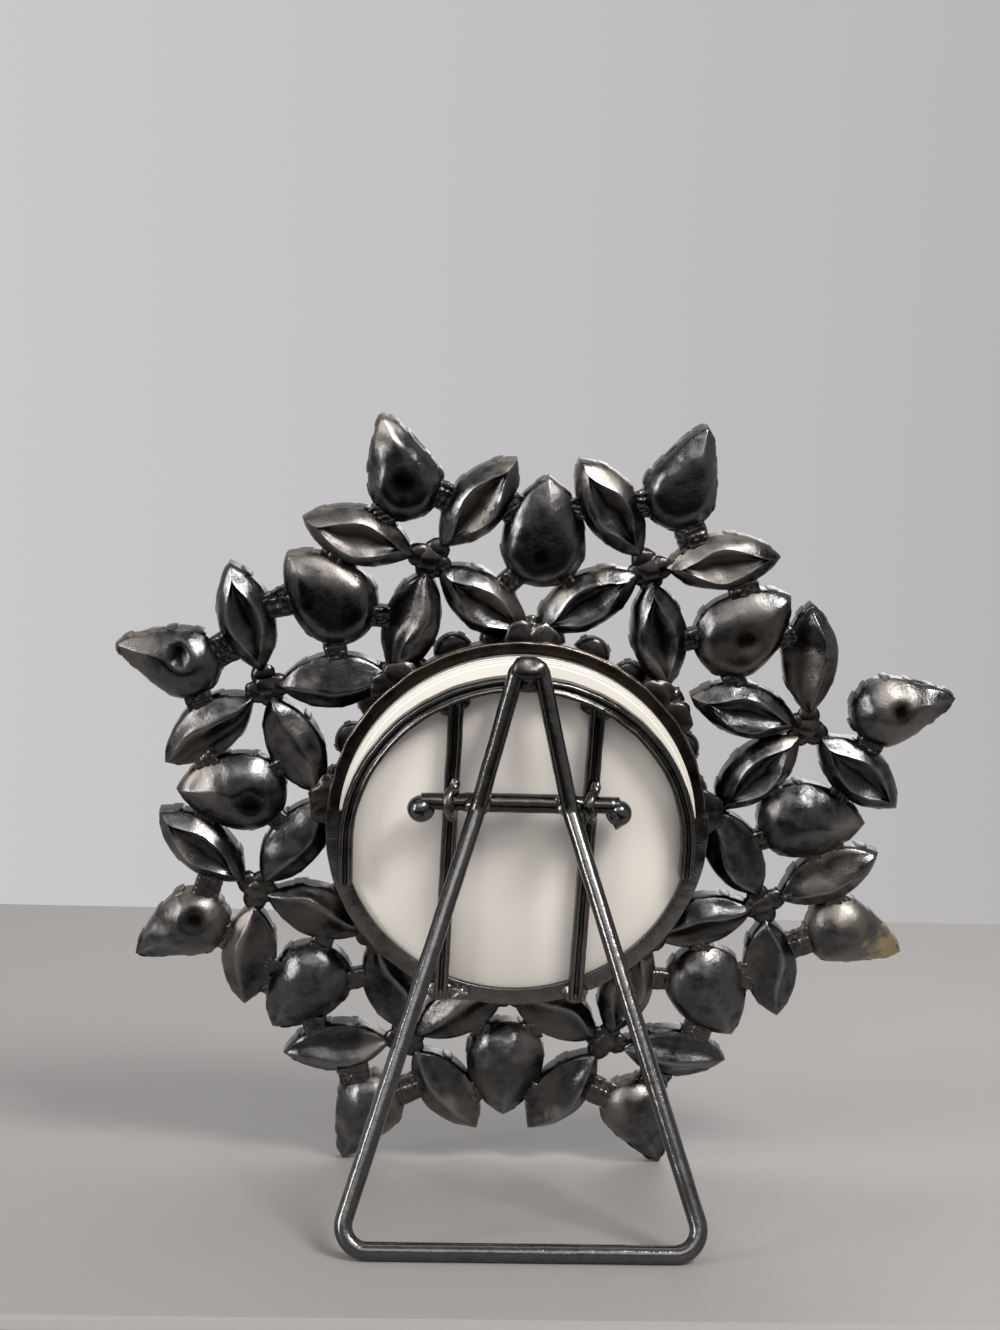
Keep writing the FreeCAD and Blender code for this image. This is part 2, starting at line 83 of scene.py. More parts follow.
# Sizes repeated from the drawing. A depth is a place along y.
SPOKES = 8
KNOT_RADIUS = 38.8
PEAR_GAP, OUTER_GAP, INNER_GAP = 5.7, 2.1, 1.5
BETWEEN_RADIUS = 40.3
WALL = 0.35
NAVETTE_STONE, PEAR_STONE, BETWEEN_STONE = (15, 7), (14, 9.2), (14.5, 10.6)
NAVETTE, PEAR, BETWEEN = (tuple(side + 2 * WALL for side in stone)
                          for stone in (NAVETTE_STONE, PEAR_STONE, BETWEEN_STONE))
RIM, WALL_END, BACK = -4.6, -2.6, -0.4
STONE_SEAT, STONE_CROWN = RIM + 1.2, 2.4
RING_BORE, RING_TUBE, RING_FLANGE = 22.8, 25.4, 26.2
RING_DEPTH, FLANGE_THICKNESS = 5.2, 0.9
SHEET_RADIUS = 24.5
STRIP_BORE, STRIP_INNER = 24.7, 23.8
STRIP_FRONT, STRIP_REAR, STRIP_END = 2.65, 3.15, 2.7
ROUND_COUNT, ROUND_CIRCLE, ROUND_STONE = 24, 24.6, 4.7
HOOP, HOOP_DROP, HOOP_LEFT_END, HOOP_RIGHT_END = 23.4, 1.85, -8, -6
BAND_REAR = 4.85
STRUT_OFFSET, STRUT_SPACING, STRUT_SLOPE = 0.2, 9.45, tan(radians(1.2))
BAR_DEPTH, BAR_HEIGHT, BAR_END, BALL_HANG = 6.05, 5.4, 13.3, 1.1
WIRE = 1.15
LEG_OFFSET, LOWER_LEG, FOOT_HALF, KNEE_HALF = 0.4, 56.2, 23, 6.15
APEX_HALF, APEX_HEIGHT, HOOP_TOUCH_HEIGHT = 1.5, 24.4, 22.6
LEG_BENDS = (3, 3, 1.25)
LAP = 0.03
# Each flower's swing and share of the knot's radius, its pear's share of the gap, and its five turns
FLOWER_ROWS = (
    (-3, 1.00, 1.00, -3, 51, -61, 143, -151),
    (-2, 1.02, 1.05, 4, 57, -60, 142, -146),
    (-3, 1.09, 1.05, -9, 71, -63, 143, -157),
    (3, 0.98, 1.20, 4, 51, -57, 144, -141),
    (0, 0.98, 1.20, 2, 60, -60, 142, -145),
    (0, 0.98, 1.20, -2, 60, -60, 145, -142),
    (-4, 0.98, 0.90, 8, 62, -64, 138, -148),
    (-5, 1.01, 1.10, 7, 62, -52, 138, -151),
)
# The swing, the share of the radius and the turn of each pear between the flowers
BETWEEN_ROWS = (
    (-3, 1.01, -2),
    (-2, 1.02, -4),
    (0.5, 1.03, -1),
    (2.5, 0.98, -16),
    (0, 0.98, 0),
    (-2, 0.99, 8),
    (-4, 0.98, -2),
    (-4.5, 1.02, -1),
)


# Places of the settings, as in the drawing
def spoke_angle(index, offset):
    return 90 + offset - index * 360 / SPOKES


def flower_sites(index):
    """A flower's knot, and each setting's kind and site. A site is a centre and a direction."""
    swing, knot_share, gap_share, pear_turn, *turns = FLOWER_ROWS[index]
    spoke = spoke_angle(index, 180 / SPOKES)
    knot = polar(KNOT_RADIUS * knot_share, spoke + swing)
    reach = PEAR_GAP * gap_share + PEAR[1] / 2
    sites = [("pear", (stepped(knot, reach, spoke + pear_turn), spoke + pear_turn))]
    for gap, turn in zip((OUTER_GAP, OUTER_GAP, INNER_GAP, INNER_GAP), turns):
        sites.append(("navette", (stepped(knot, gap + NAVETTE[0] / 2, spoke + turn), spoke + turn)))
    return knot, sites


def between_site(index):
    swing, share, turn = BETWEEN_ROWS[index]
    spoke = spoke_angle(index, 0)
    middle = polar(BETWEEN_RADIUS * share, spoke + swing)
    return stepped(middle, BETWEEN[1] / 2 - BETWEEN[0] / 2, spoke + turn), spoke + turn


# Materials
def material(name):
    """A new material, with its node tree and its shader."""
    made = bpy.data.materials.new(name)
    made.use_nodes = True
    return made, made.node_tree, made.node_tree.nodes["Principled BSDF"]


def set_inputs(made, values):
    """Gives a node's inputs other nodes' outputs, colours or numbers."""
    for name, value in values.items():
        if hasattr(value, "is_linked"):
            made.id_data.links.new(value, made.inputs[name])
        else:
            made.inputs[name].default_value = (*value, 1) if isinstance(value, tuple) else value


def new_node(tree, kind, inputs, output, **settings):
    """Makes a node, gives it its settings and inputs, and returns one of its outputs."""
    made = tree.nodes.new("ShaderNode" + kind)
    for name, value in settings.items():
        setattr(made, name, value)
    set_inputs(made, inputs)
    return made.outputs[output]


def coordinates(tree, kind="Object"):
    return new_node(tree, "TexCoord", {}, kind)


def axis(tree, kind, name):
    """One axis of one kind of coordinates."""
    return new_node(tree, "SeparateXYZ", {"Vector": coordinates(tree, kind)}, name)


def distance_from(tree, place):
    return new_node(tree, "VectorMath", {0: coordinates(tree), 1: place}, "Value", operation="DISTANCE")


def noise_node(tree, scale, detail=4, rough=0.6, kind="Object"):
    return new_node(tree, "TexNoise", {"Vector": coordinates(tree, kind), "Scale": scale, "Detail": detail,
                                       "Roughness": rough}, "Fac")


def ramp(tree, source, stops):
    made = tree.nodes.new("ShaderNodeValToRGB")
    set_inputs(made, {"Fac": source})
    band = made.color_ramp
    while len(band.elements) > 1:
        band.elements.remove(band.elements[-1])
    for index, (place, colour) in enumerate(stops):
        stop = band.elements[0] if index == 0 else band.elements.new(place)
        stop.position = place
        stop.color = (*colour, 1)
    return made.outputs["Color"]


def grey(value):
    return (value, value, value)


def fade(tree, source, start, end, first=0, last=1):
    """A ramp from one grey at the start to another at the end."""
    return ramp(tree, source, [(start, grey(first)), (end, grey(last))])


def mix(tree, factor, first, second):
    return new_node(tree, "Mix", {"Factor": factor, "A": first, "B": second}, "Result", data_type="RGBA")


def arithmetic(tree, operation, *values, clamp=False):
    return new_node(tree, "Math", dict(enumerate(values)), "Value", operation=operation, use_clamp=clamp)


def multiply(tree, first, second):
    """A product, kept between zero and one."""
    return arithmetic(tree, "MULTIPLY", first, second, clamp=True)


def bumped(shader, heights):
    """Chains bumps of (height socket, strength, distance in millimetres) into the shader."""
    normal = None
    for height, strength, distance in heights:
        below = {} if normal is None else {"Normal": normal}
        normal = new_node(shader.id_data, "Bump", {"Strength": strength, "Distance": distance * MM,
                                                   "Height": height, **below}, "Normal")
    set_inputs(shader, {"Normal": normal})


# The colour of hollows and dents: soot, with painted shade.
SOOT_AND_SHADE = (0.012, 0.010, 0.009)
CLAY_SHARES = (1.65, 1.50, 1.32)
DULL_ROUGHNESS = 0.44


def plated(name, dark, middle, bright, smooth, pits, aged=0.2, patch=None):
    """Blackened plate: cloudy patina, brighter where a ridge is rubbed and painted highlight is laid on,
    darker in hollows with soot and painted shade, finely hammered.
    """
    made, tree, shader = material(name)
    clouds = noise_node(tree, 260, 5, 0.62)
    stains = noise_node(tree, 900, 6, 0.7)
    grain = noise_node(tree, 4200, 3, 0.6)
    broad = noise_node(tree, 95, 3, 0.55)
    wear_and_sheen = new_node(tree, "Attribute", {}, "Fac", attribute_name="wear_and_sheen")
    dull = multiply(tree, fade(tree, broad, 0.50, 0.60), aged)
    clay = tuple(v * share for v, share in zip(middle, CLAY_SHARES))
    colour = ramp(tree, clouds, [(0.34, dark), (0.50, middle), (0.68, tuple(0.72 * v for v in middle))])
    colour = mix(tree, multiply(tree, fade(tree, stains, 0.40, 0.66), 0.45), colour, dark)
    colour = mix(tree, dull, colour, clay)
    # Painted highlight: above nought the colour goes bright, for rubbed metal and for light caught on crests
    # and edges.
    colour = mix(tree, multiply(tree, fade(tree, stains, 0.30, 0.60, 0.35), wear_and_sheen), colour, bright)
    # Painted shade: below nought the colour goes to soot, for soot and shade in hollows and dents.
    colour = mix(tree, multiply(tree, wear_and_sheen, -1), colour, SOOT_AND_SHADE)
    if patch is not None:
        colour = mix(tree, patch_factor(tree, *patch[:2]), colour, patch[2])
    low, high = smooth
    rough = ramp(tree, clouds, [(0.32, grey(low)), (0.60, grey(high)), (0.78, grey(low * 1.2))])
    rough = mix(tree, dull, rough, grey(DULL_ROUGHNESS))
    set_inputs(shader, {"Base Color": colour, "Metallic": 1, "Roughness": rough})
    bumped(shader, [(clouds, 0.30, 0.35), (stains, pits, 0.09), (grain, 0.5, 0.03)])
    return made


def patch_factor(tree, centre, radius):
    """One inside a worn patch round a point, fading over its ragged edge."""
    ragged = noise_node(tree, 700, 4, 0.6)
    share = arithmetic(tree, "MULTIPLY_ADD", distance_from(tree, centre), 0.5 / (radius * MM), ragged)
    return fade(tree, share, 0.72, 0.98, 1, 0)


def card(name):
    """Cream card, darker towards its middle; painted shade darkens it where the hoop shades it and at its
    edge.
    """
    made, tree, shader = material(name)
    share = arithmetic(tree, "MULTIPLY", distance_from(tree, stand(0, 2.55, -1)), 1 / (25 * MM))
    cloud = noise_node(tree, 60, 3, 0.5)
    fibre = noise_node(tree, 5200, 2, 0.5)
    colour = ramp(tree, share, [(0.35, (0.75, 0.70, 0.645)), (0.84, (0.86, 0.795, 0.725)),
                                (1, (0.74, 0.69, 0.61))])
    colour = mix(tree, multiply(tree, cloud, 0.3), colour, (0.90, 0.86, 0.81))
    set_inputs(shader, {"Base Color": colour, "Roughness": 0.32, "Coat Weight": 0.35,
                        "Coat Roughness": 0.12})
    bumped(shader, [(cloud, 0.15, 0.25), (fibre, 0.12, 0.01)])
    return made


def clouded(name, cloud, stops, inputs, bump=None):
    """A material in one cloudy colour, with a (strength, distance) bump if one is given."""
    made, tree, shader = material(name)
    cloud = noise_node(tree, *cloud)
    set_inputs(shader, {"Base Color": ramp(tree, cloud, stops), **inputs})
    if bump is not None:
        bumped(shader, [(cloud, *bump)])
    return made


def crystal(name, colour):
    return clouded(name, (500, 2, 0.5), [(0.3, colour), (0.7, tuple(0.9 * v for v in colour))],
                   {"Transmission Weight": 0.85, "IOR": 1.62, "Roughness": 0.02})


def clear_sheet(name):
    made, _, shader = material(name)
    set_inputs(shader, {"Base Color": (0.90, 0.93, 0.92), "Alpha": 0.12, "Roughness": 0.03})
    return made


# The fourth flower's pear is worn to the brass at its tip.
WORN_FLOWER = 3
worn_centre, worn_direction = flower_sites(WORN_FLOWER)[1][0][1]
WORN_TIP = stepped(worn_centre, PEAR[0] - PEAR[1] / 2 - 0.6, worn_direction)
WORN_PATCH = (stand(-WORN_TIP[0], -1.8, WORN_TIP[1]), 6, (0.42, 0.32, 0.19))
CUP_LOOK = {"dark": (0.022, 0.021, 0.020), "middle": (0.106, 0.105, 0.106), "bright": (0.39, 0.395, 0.41),
            "smooth": (0.07, 0.20), "pits": 0.75, "aged": 0.75}
CUP_METAL = plated("blackened_cups", **CUP_LOOK)
WORN_METAL = plated("blackened_worn_cup", patch=WORN_PATCH, **CUP_LOOK)
BAND_METAL = plated("blackened_band", (0.026, 0.025, 0.024), (0.085, 0.081, 0.078), (0.28, 0.27, 0.26),
                    smooth=(0.12, 0.28), pits=0.3)
WIRE_METAL = plated("blackened_wire", (0.028, 0.026, 0.025), (0.062, 0.059, 0.057), (0.34, 0.33, 0.32),
                    smooth=(0.09, 0.17), pits=0.15, aged=0)
RING_METAL = plated("browned_ring", (0.012, 0.009, 0.008), (0.040, 0.030, 0.026), (0.42, 0.35, 0.28),
                    smooth=(0.12, 0.32), pits=0.8)
SOLDER = plated("solder_joints", (0.022, 0.020, 0.019), (0.080, 0.075, 0.071), (0.34, 0.33, 0.31),
                smooth=(0.12, 0.28), pits=0.6)
FOIL = clouded("setting_foil", (1800, 3, 0.6), [(0.35, grey(0.74)), (0.7, grey(0.90))],
               {"Metallic": 1, "Roughness": 0.18}, (0.25, 0.05))
STONE = crystal("smoky_stones", (0.82, 0.83, 0.87))
CARD = card("cream_card")
PAPER = clouded("plain_photo_paper", (900, 4, 0.5), [(0.35, (0.76, 0.75, 0.72)), (0.7, (0.82, 0.81, 0.78))],
                {"Roughness": 0.45}, (0.1, 0.01))
# A darker copy of the stone's material for every other facet: painted shade.
STONE_PAINTED_SHADE = crystal("smoky_stone_painted_shade", (0.30, 0.31, 0.35))
GLASS = clear_sheet("cover_glass_clear")


# Mesh pieces
class Piece:
    """Points and faces gathered into one object. Every point carries one value: above nought, rubbed bright
    with painted highlight; below nought, soot with painted shade.
    """

    def __init__(self):
        self.points = []
        self.wear_and_sheen = []
        self.faces = []
        self.slots = []

    def add(self, points, faces, wear_and_sheen, slot=0):
        start = len(self.points)
        self.points.extend(points)
        self.wear_and_sheen.extend(wear_and_sheen if isinstance(wear_and_sheen, list) else [wear_and_sheen] * len(points))
        self.faces.extend(tuple(start + corner for corner in face) for face in faces)
        self.slots.extend([slot] * len(faces))

    def loft(self, rings, wear_and_sheen, slot=0, first=True, last=True, closed=True):
        """Skins rings of points, with a face at each end if first and last say so.

        wear is one value, or a list with one for each ring or for each point. An open ring isn't closed
        from its last point to its first.
        """
        size = len(rings[0])
        faces = []
        for row in range(len(rings) - 1):
            for corner in range(size if closed else size - 1):
                following = (corner + 1) % size
                faces.append((row * size + corner, row * size + following,
                              (row + 1) * size + following, (row + 1) * size + corner))
        if first:
            faces.append(tuple(range(size))[::-1])
        if last:
            faces.append(tuple((len(rings) - 1) * size + corner for corner in range(size)))
        if isinstance(wear_and_sheen, list) and len(wear_and_sheen) == len(rings):
            wear_and_sheen = [value for value in wear_and_sheen for _ in range(size)]
        self.add([point for ring in rings for point in ring], faces, wear_and_sheen, slot)

    def object(self, name, *materials, body="frame", smooth=40, node=None):
        """Makes the piece. Edges under the smooth angle are shaded round."""
        mesh = bpy.data.meshes.new(name)
        mesh.from_pydata([tuple(point) for point in self.points], [], self.faces)
        dress(mesh, materials, self.wear_and_sheen)
        mesh.polygons.foreach_set("material_index", self.slots)
        whole = bmesh.new()
        whole.from_mesh(mesh)
        bmesh.ops.remove_doubles(whole, verts=whole.verts, dist=0.0002 * MM)
        bmesh.ops.recalc_face_normals(whole, faces=whole.faces)
        whole.to_mesh(mesh)
        whole.free()
        if smooth:
            mesh.shade_smooth()
            mesh.set_sharp_from_angle(angle=radians(smooth))
        put(name, mesh, body, node)


def dress(mesh, materials, wear_and_sheen):
    """Gives a mesh its materials, and each point's rubbing with painted highlight, which below nought is soot
    with painted shade.
    """
    mesh.materials.clear()
    for slot in materials:
        mesh.materials.append(slot)
    mesh.attributes.new("wear_and_sheen", "FLOAT", "POINT").data.foreach_set("value", wear_and_sheen)


def new_object(name, data):
    made = bpy.data.objects.new(name, data)
    bpy.context.scene.collection.objects.link(made)
    return made


def put(name, mesh, body, node):
    """Puts a mesh in the scene on its body, and in the place of a node if one is given."""
    made = new_object(name, mesh)
    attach(made, body)
    if node:
        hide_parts(node)


ARC_STEPS = 60


def even_points(path, count):
    """Points at even steps along a closed path."""
    lengths = [0]
    for here, there in zip(path, path[1:] + path[:1]):
        lengths.append(lengths[-1] + dist(here, there))
    total = lengths[-1]
    made = []
    edge = 0
    for step in range(count):
        target = total * step / count
        while lengths[edge + 1] < target:
            edge += 1
        share = (target - lengths[edge]) / (lengths[edge + 1] - lengths[edge])
        here, there = path[edge], path[(edge + 1) % len(path)]
        made.append(tuple(a + (b - a) * share for a, b in zip(here, there)))
    return made


def arc(centre, radius, start, sweep):
    """The points of an arc, without its last."""
    return [stepped(centre, radius, start + sweep * step / ARC_STEPS) for step in range(ARC_STEPS)]


def navette_path(length, width, count):
    half_length, half_width = length / 2, width / 2
    radius = (half_length ** 2 + half_width ** 2) / (2 * half_width)
    sweep = degrees(asin(half_length / radius))
    side = arc((0, half_width - radius), radius, 90 - sweep, 2 * sweep)
    return even_points(side + [(-along, -across) for along, across in side], count)


def pear_path(length, width, count):
    end_radius = width / 2
    reach = length - end_radius
    radius = (reach ** 2 + end_radius ** 2) / (2 * end_radius)
    sweep = degrees(asin(reach / radius))
    side = arc((0, end_radius - radius), radius, 90 - sweep, sweep)
    other = [(along, -across) for along, across in reversed(side)]
    return even_points(side + arc((0, 0), end_radius, 90, 180) + other[:-1], count)


def wobble(point, scale=1, amount=1):
    """A smooth waver between about minus and plus the amount, the same each time at the same point."""
    return noise.noise(Vector(point) * scale) * amount


def on_wreath(site, along, across):
    """The (across, up) on the wreath of a point of a setting's own drawing."""
    centre, turn = site[0], radians(site[1])
    return (centre[0] + along * cos(turn) - across * sin(turn),
            centre[1] + along * sin(turn) + across * cos(turn))


def spot(site, along, across, depth):
    """A point of a setting's own drawing, stood up, and a little out of true as handwork is."""
    u, v = on_wreath(site, along, across)
    here = (u, depth, v)
    u += wobble(here, 0.30, 0.16) + wobble(here, 1.1, 0.05)
    v += wobble((v, u, depth), 0.30, 0.16) + wobble((v, u, depth), 1.1, 0.05)
    return stand(-u, depth, v)


def back_tilt(centre):
    """How far a back leans along and across, so that no two settings catch the light alike."""
    return (wobble((centre[0], 1, centre[1]), 0.9, 0.10), wobble((centre[1], 4, centre[0]), 0.9, 0.16))


# The photo stack slides past the settings within this half width and above this height.
SLIDE_HALF, SLIDE_LOW = 34, 10
SLIDE_LIMIT, SLIDE_EASE = -0.12, 0.48


def back_spot(site, along, across, depth, tilt):
    """A point of a setting's wall or back. Where the photo stack slides past, the back stays below it."""
    centre = site[0]
    if depth > WALL_END:
        rise = min((depth - WALL_END) / 1.2, 1)
        depth += rise * (along * tilt[0] + across * tilt[1])
        depth += rise * wobble((along + centre[0], across + centre[1], 7), 0.42, 0.26)
    if abs(centre[0]) < SLIDE_HALF and centre[1] > SLIDE_LOW and depth > -0.6:
        depth = SLIDE_LIMIT - SLIDE_EASE * exp(-(depth + 0.6) / SLIDE_EASE)
    return spot(site, along, across, depth)


def cup_shell(piece, site, outline, size, back, dent=None):
    """One setting: foiled seat, rim, straight wall and shoulder, then its back."""
    inner = ((size[0] - 2 * WALL) / size[0], (size[1] - 2 * WALL) / size[1])
    tilt = back_tilt(site[0])
    middle = ((1 + inner[0]) / 2, (1 + inner[1]) / 2)
    rings, wears_and_sheens = [], []
    for (long_share, wide_share), depth, wear_and_sheen in (
            ((0.02, 0.02), -2.75, 0), (inner, -3.35, 0), (inner, RIM + 0.1, 0.3), (middle, RIM, 0.5),
            ((0.995, 0.995), RIM + 0.12, 0.3), ((1, 1), RIM + 0.4, 0.1), ((1, 1), WALL_END - 0.2, 0),
            ((1, 1), WALL_END, 0), ((0.985, 0.985), WALL_END + 0.26, 0.05),
            ((SHOULDER, SHOULDER), SHOULDER_DEPTH, 0)):
        rings.append([back_spot(site, along * long_share, across * wide_share, depth, tilt)
                      for along, across in outline])
        wears_and_sheens.append(wear_and_sheen)
    piece.loft(rings[:3], wears_and_sheens[:3], slot=1, last=False)
    piece.loft(rings[2:], wears_and_sheens[2:], first=False, last=False)
    back_sheet(piece, site, outline, back, tilt, dent)


def back_sheet(piece, site, outline, back, tilt, dent):
    """The back, in columns from tip to end and rows from wall to wall.

    back holds three functions of the place along it: where the crest lies, how high a place is and how
    rubbed, with painted highlight and painted shade, and where the rows go. A dent is (along, across, radius,
    depth).
    """
    ridge, height, rows = back
    columns, wears_and_sheens = [], []
    for along, across in outline[:len(outline) // 2 + 1]:
        a = along * SHOULDER
        crest = ridge(a)
        half = rows(a)
        column = []
        for place in [-place for place in reversed(half)] + [0] + half:
            c = (crest + place * (1 - crest if place > 0 else 1 + crest)) * abs(across) * SHOULDER
            share, wear_and_sheen = height(a, place)
            depth = SHOULDER_DEPTH + share * (BACK - SHOULDER_DEPTH)
            if dent is not None and abs(place) < 1:
                pit = exp(-(((a - dent[0]) ** 2 + (c - dent[1]) ** 2) / dent[2] ** 2) ** 1.4)
                depth -= dent[3] * pit
                # A dent is painted darker: soot with painted shade.
                wear_and_sheen -= 1.3 * pit
            column.append(back_spot(site, a, c, depth, tilt))
            wears_and_sheens.append(wear_and_sheen)
        columns.append(column)
    piece.loft(columns, wears_and_sheens, first=False, last=False, closed=False)


def crest_rows(_):
    """Rows as shares of the way from the crest to a wall, closest together at the crest."""
    return [(k / 9) ** 1.2 for k in range(1, 10)]


def leaf_back(offset, snake, dish, crown):
    """A navette's back: a crest that snakes from tip to tip, between a dished flank and a plain one."""
    reach = NAVETTE[0] / 2 * SHOULDER

    def ridge(a):
        return offset * (1 - (a / reach) ** 2) + snake * sin(pi * a / reach)

    def height(a, place):
        spine = max(1 - abs(a / reach) ** 2.6, 0) ** 0.8
        share = 1 - abs(place)
        plain = 0.45 * sin(pi * share / 2) + 0.55 * share
        hollow = sin(pi * share) ** 1.5
        deep = dish if place * (offset or 1) < 0 else 0.12
        # The crest is painted bright, rubbed with painted highlight; the dished flank is painted darker, soot
        # with painted shade.
        sheen_and_wear = 0.5 * exp(-(place / 0.10) ** 2) * spine - 0.9 * deep * hollow * spine
        lip = 0.10 * exp(-((share - 0.16) / 0.09) ** 2) * (deep > 0.2)
        top = 0.06 * exp(-(place / 0.08) ** 2)
        return crown * spine * (plain - deep * hollow * spine + lip - top), sheen_and_wear

    return ridge, height, crest_rows


def mouth_back(dish, crown):
    """A navette's back pressed in along its middle, with its lip all round the hollow painted bright, rubbed
    with painted highlight, and the hollow painted darker, soot with painted shade.
    """
    reach = NAVETTE[0] / 2 * SHOULDER

    def ridge(a):
        return 0.10 * sin(2.5 * a / reach)

    def lip(a):
        return max(0.62 * (1 - (a / (0.78 * reach)) ** 2), 0)

    def height(a, place):
        toward = abs(a / reach)
        spine = max(1 - toward ** 2.6, 0) ** 0.8
        edge = lip(a)
        if abs(place) > edge - 1e-6:
            rise = ((1 - abs(place)) / (1 - edge)) ** 0.75
            return crown * spine * rise, 0.5 * rise ** 12 * spine
        inside = 1 - abs(place) / edge
        drop = sin(pi / 2 * inside) ** 1.2 * (1 - toward ** 2)
        return crown * spine * (1 - dish * drop), 0.5 * (1 - inside) ** 6 * spine - 0.65 * drop

    def rows(a):
        edge = lip(a)
        return [edge * k / 5 for k in range(1, 6)] + [edge + (1 - edge) * k / 4 for k in range(1, 5)]

    return ridge, height, rows


def pear_back(size, crown, fold):
    """A pear's back: a dome over the round end, folded into a crest that runs out to the tip."""
    reach = (size[0] - size[1] / 2) * SHOULDER
    radius = size[1] / 2 * SHOULDER

    def ridge(a):
        return fold * sin(pi * max(a / reach, 0))

    def height(a, place):
        share = 1 - abs(place)
        dome = max(1 - place ** 2, 0) ** 0.85
        if a <= 0:
            return crown * max(1 - (a / radius) ** 2, 0) ** 0.85 * dome, 0.05
        toward = min(a / reach, 1)
        roof = 0.75 * min(toward / 0.7, 1) ** 1.5
        # The crest towards the tip is painted bright: rubbed, with painted highlight.
        sheen_and_wear = 0.05 + 0.4 * roof * exp(-(place / 0.14) ** 2)
        return crown * (1 - toward ** 1.5) ** 0.85 * (dome * (1 - roof) + share * roof), sheen_and_wear

    return ridge, height, crest_rows


def add_claw(piece, site, here, there, width, out, reach):
    """A claw that hugs the wall at one point of the outline and folds over the stone's edge."""
    tangent = Vector((there[0] - here[0], there[1] - here[1], 0)).normalized()
    normal = Vector((tangent.y, -tangent.x, 0))
    middle = Vector((here[0], here[1], 0))
    if normal.dot(middle) < 0:
        normal = -normal
    rings = []
    for share, outer, inner, depth in ((0.5, -0.12, -0.2, -2.2), (0.8, out * 0.6, -0.15, -2.55),
                                       (1, out, -0.05, -3.1), (1, out, -0.05, -3.9),
                                       (0.9, out * 0.8, 0, -4.7), (0.6, -0.25, -0.25, -5.05),
                                       (0.15, -reach, -reach, -5)):
        thick = 0 if depth > -4.9 else 0.28
        corners = ((-0.5, inner, thick), (-0.42, outer * 0.6 + inner * 0.4, 0), (-0.2, outer, 0),
                   (0.2, outer, 0), (0.42, outer * 0.6 + inner * 0.4, 0), (0.5, inner, thick))
        ring = []
        for side, reach_out, drop in corners:
            point = middle + tangent * (side * width * share) + normal * reach_out
            ring.append(spot(site, point.x, point.y, depth + drop))
        rings.append(ring)
    piece.loft(rings, [0, 0, 0.05, 0.05, 0.2, 0.3, 0.3])


def add_claws(piece, site, outline, count, seed, stand_out):
    size = len(outline)
    for index in range(count):
        place = int((index + 0.5 + wobble((seed, index, 0.5), amount=0.25)) * size / count) % size
        width = 1.9 + wobble((seed, 3.1, index * 1.37))
        out = 0.06 + stand_out * (0.5 + wobble((index * 1.61, seed, 1.7)))
        add_claw(piece, site, outline[place], outline[(place + 1) % size], width, out, 0.9)


def add_stone(piece, site, path, size, seat=STONE_SEAT, crown=STONE_CROWN, count=16, culet=0.42):
    """A cut stone: a shallow point behind, girdle, a ring of kite facets and a flat table. Every other facet
    takes a darker copy of the stone's material, a painted shade.
    """
    girdle = path(*size, 2 * count)
    points = []
    for share, depth, offset in ((0.985, seat - 0.02, 0), (1, seat - 0.3, 0),
                                 (0.80, seat - crown * 0.62, 1), (0.58, seat - crown, 0)):
        for k in range(count):
            along, across = girdle[(2 * k + offset) % (2 * count)]
            points.append(spot(site, along * share, across * share, depth))
    points.append(spot(site, 0, 0, seat + culet))
    b, c, d = count, 2 * count, 3 * count
    faces = [(k, (k + 1) % count, 4 * count) for k in range(count)]
    for k in range(count):
        n = (k + 1) % count
        faces += [(k, n, b + n, b + k), (b + k, b + n, c + k), (c + k, b + n, c + n), (c + k, c + n, d + n),
                  (c + k, d + n, d + k)]
    faces.append(tuple(range(d, 4 * count)))
    piece.add(points, faces, 0)
    # Every other facet takes the darker copy, a painted shade.
    for face in [*range(0, count, 2), *(count + 5 * k + 1 + 2 * (k % 2) for k in range(count))]:
        piece.slots[face - len(faces)] = 1


def drawn_in(outline, size, share):
    """The outline with its sides pulled in near the tip."""
    reach = size[0] - size[1] / 2
    made = []
    for along, across in outline:
        place = max(along / reach, 0)
        made.append((along, across * (1 - share * sin(pi * min(place ** 1.6, 1)))))
    return made


SHOULDER, SHOULDER_DEPTH = 0.955, WALL_END + 0.52
NAVETTE_LINE = navette_path(*NAVETTE, 56)
PEAR_LINE = drawn_in(pear_path(*PEAR, 60), PEAR, 0.20)
BETWEEN_LINE = pear_path(*BETWEEN, 64)
# Each shape's stone path and size, and its setting's outline and size
NAVETTE_SHAPE = (navette_path, NAVETTE_STONE, NAVETTE_LINE, NAVETTE)
PEAR_SHAPE = (pear_path, PEAR_STONE, PEAR_LINE, PEAR)
BETWEEN_SHAPE = (pear_path, BETWEEN_STONE, BETWEEN_LINE, BETWEEN)
NAVETTE_CROWN, DISHED_CROWN, PEAR_CROWN, BETWEEN_CROWN = 1.12, 1.08, 1.60, 1.80
DISH_DEPTH = 0.62
# Navettes pressed in along the middle: each flower's places
DISHED = {0: (1, 2, 4), 1: (1, 2, 3, 4), 2: (2, 3, 4), 4: (3,), 6: (2,), 7: (2,)}
# Dents in the pears' backs: (along, across, radius, depth)
FLOWER_DENTS = {0: (0.4, 0.3, 1.4, 1), 2: (1.5, 0.6, 1.1, 0.4), 6: (-1, -0.9, 1.4, 0.9),
                7: (1, -1.4, 1.3, 1)}
BETWEEN_DENTS = {0: (-1, 0.3, 1.1, 0.6), 1: (1.2, -0.6, 1.75, 1.7), 6: (-0.8, 0.6, 1.6, 0.9)}


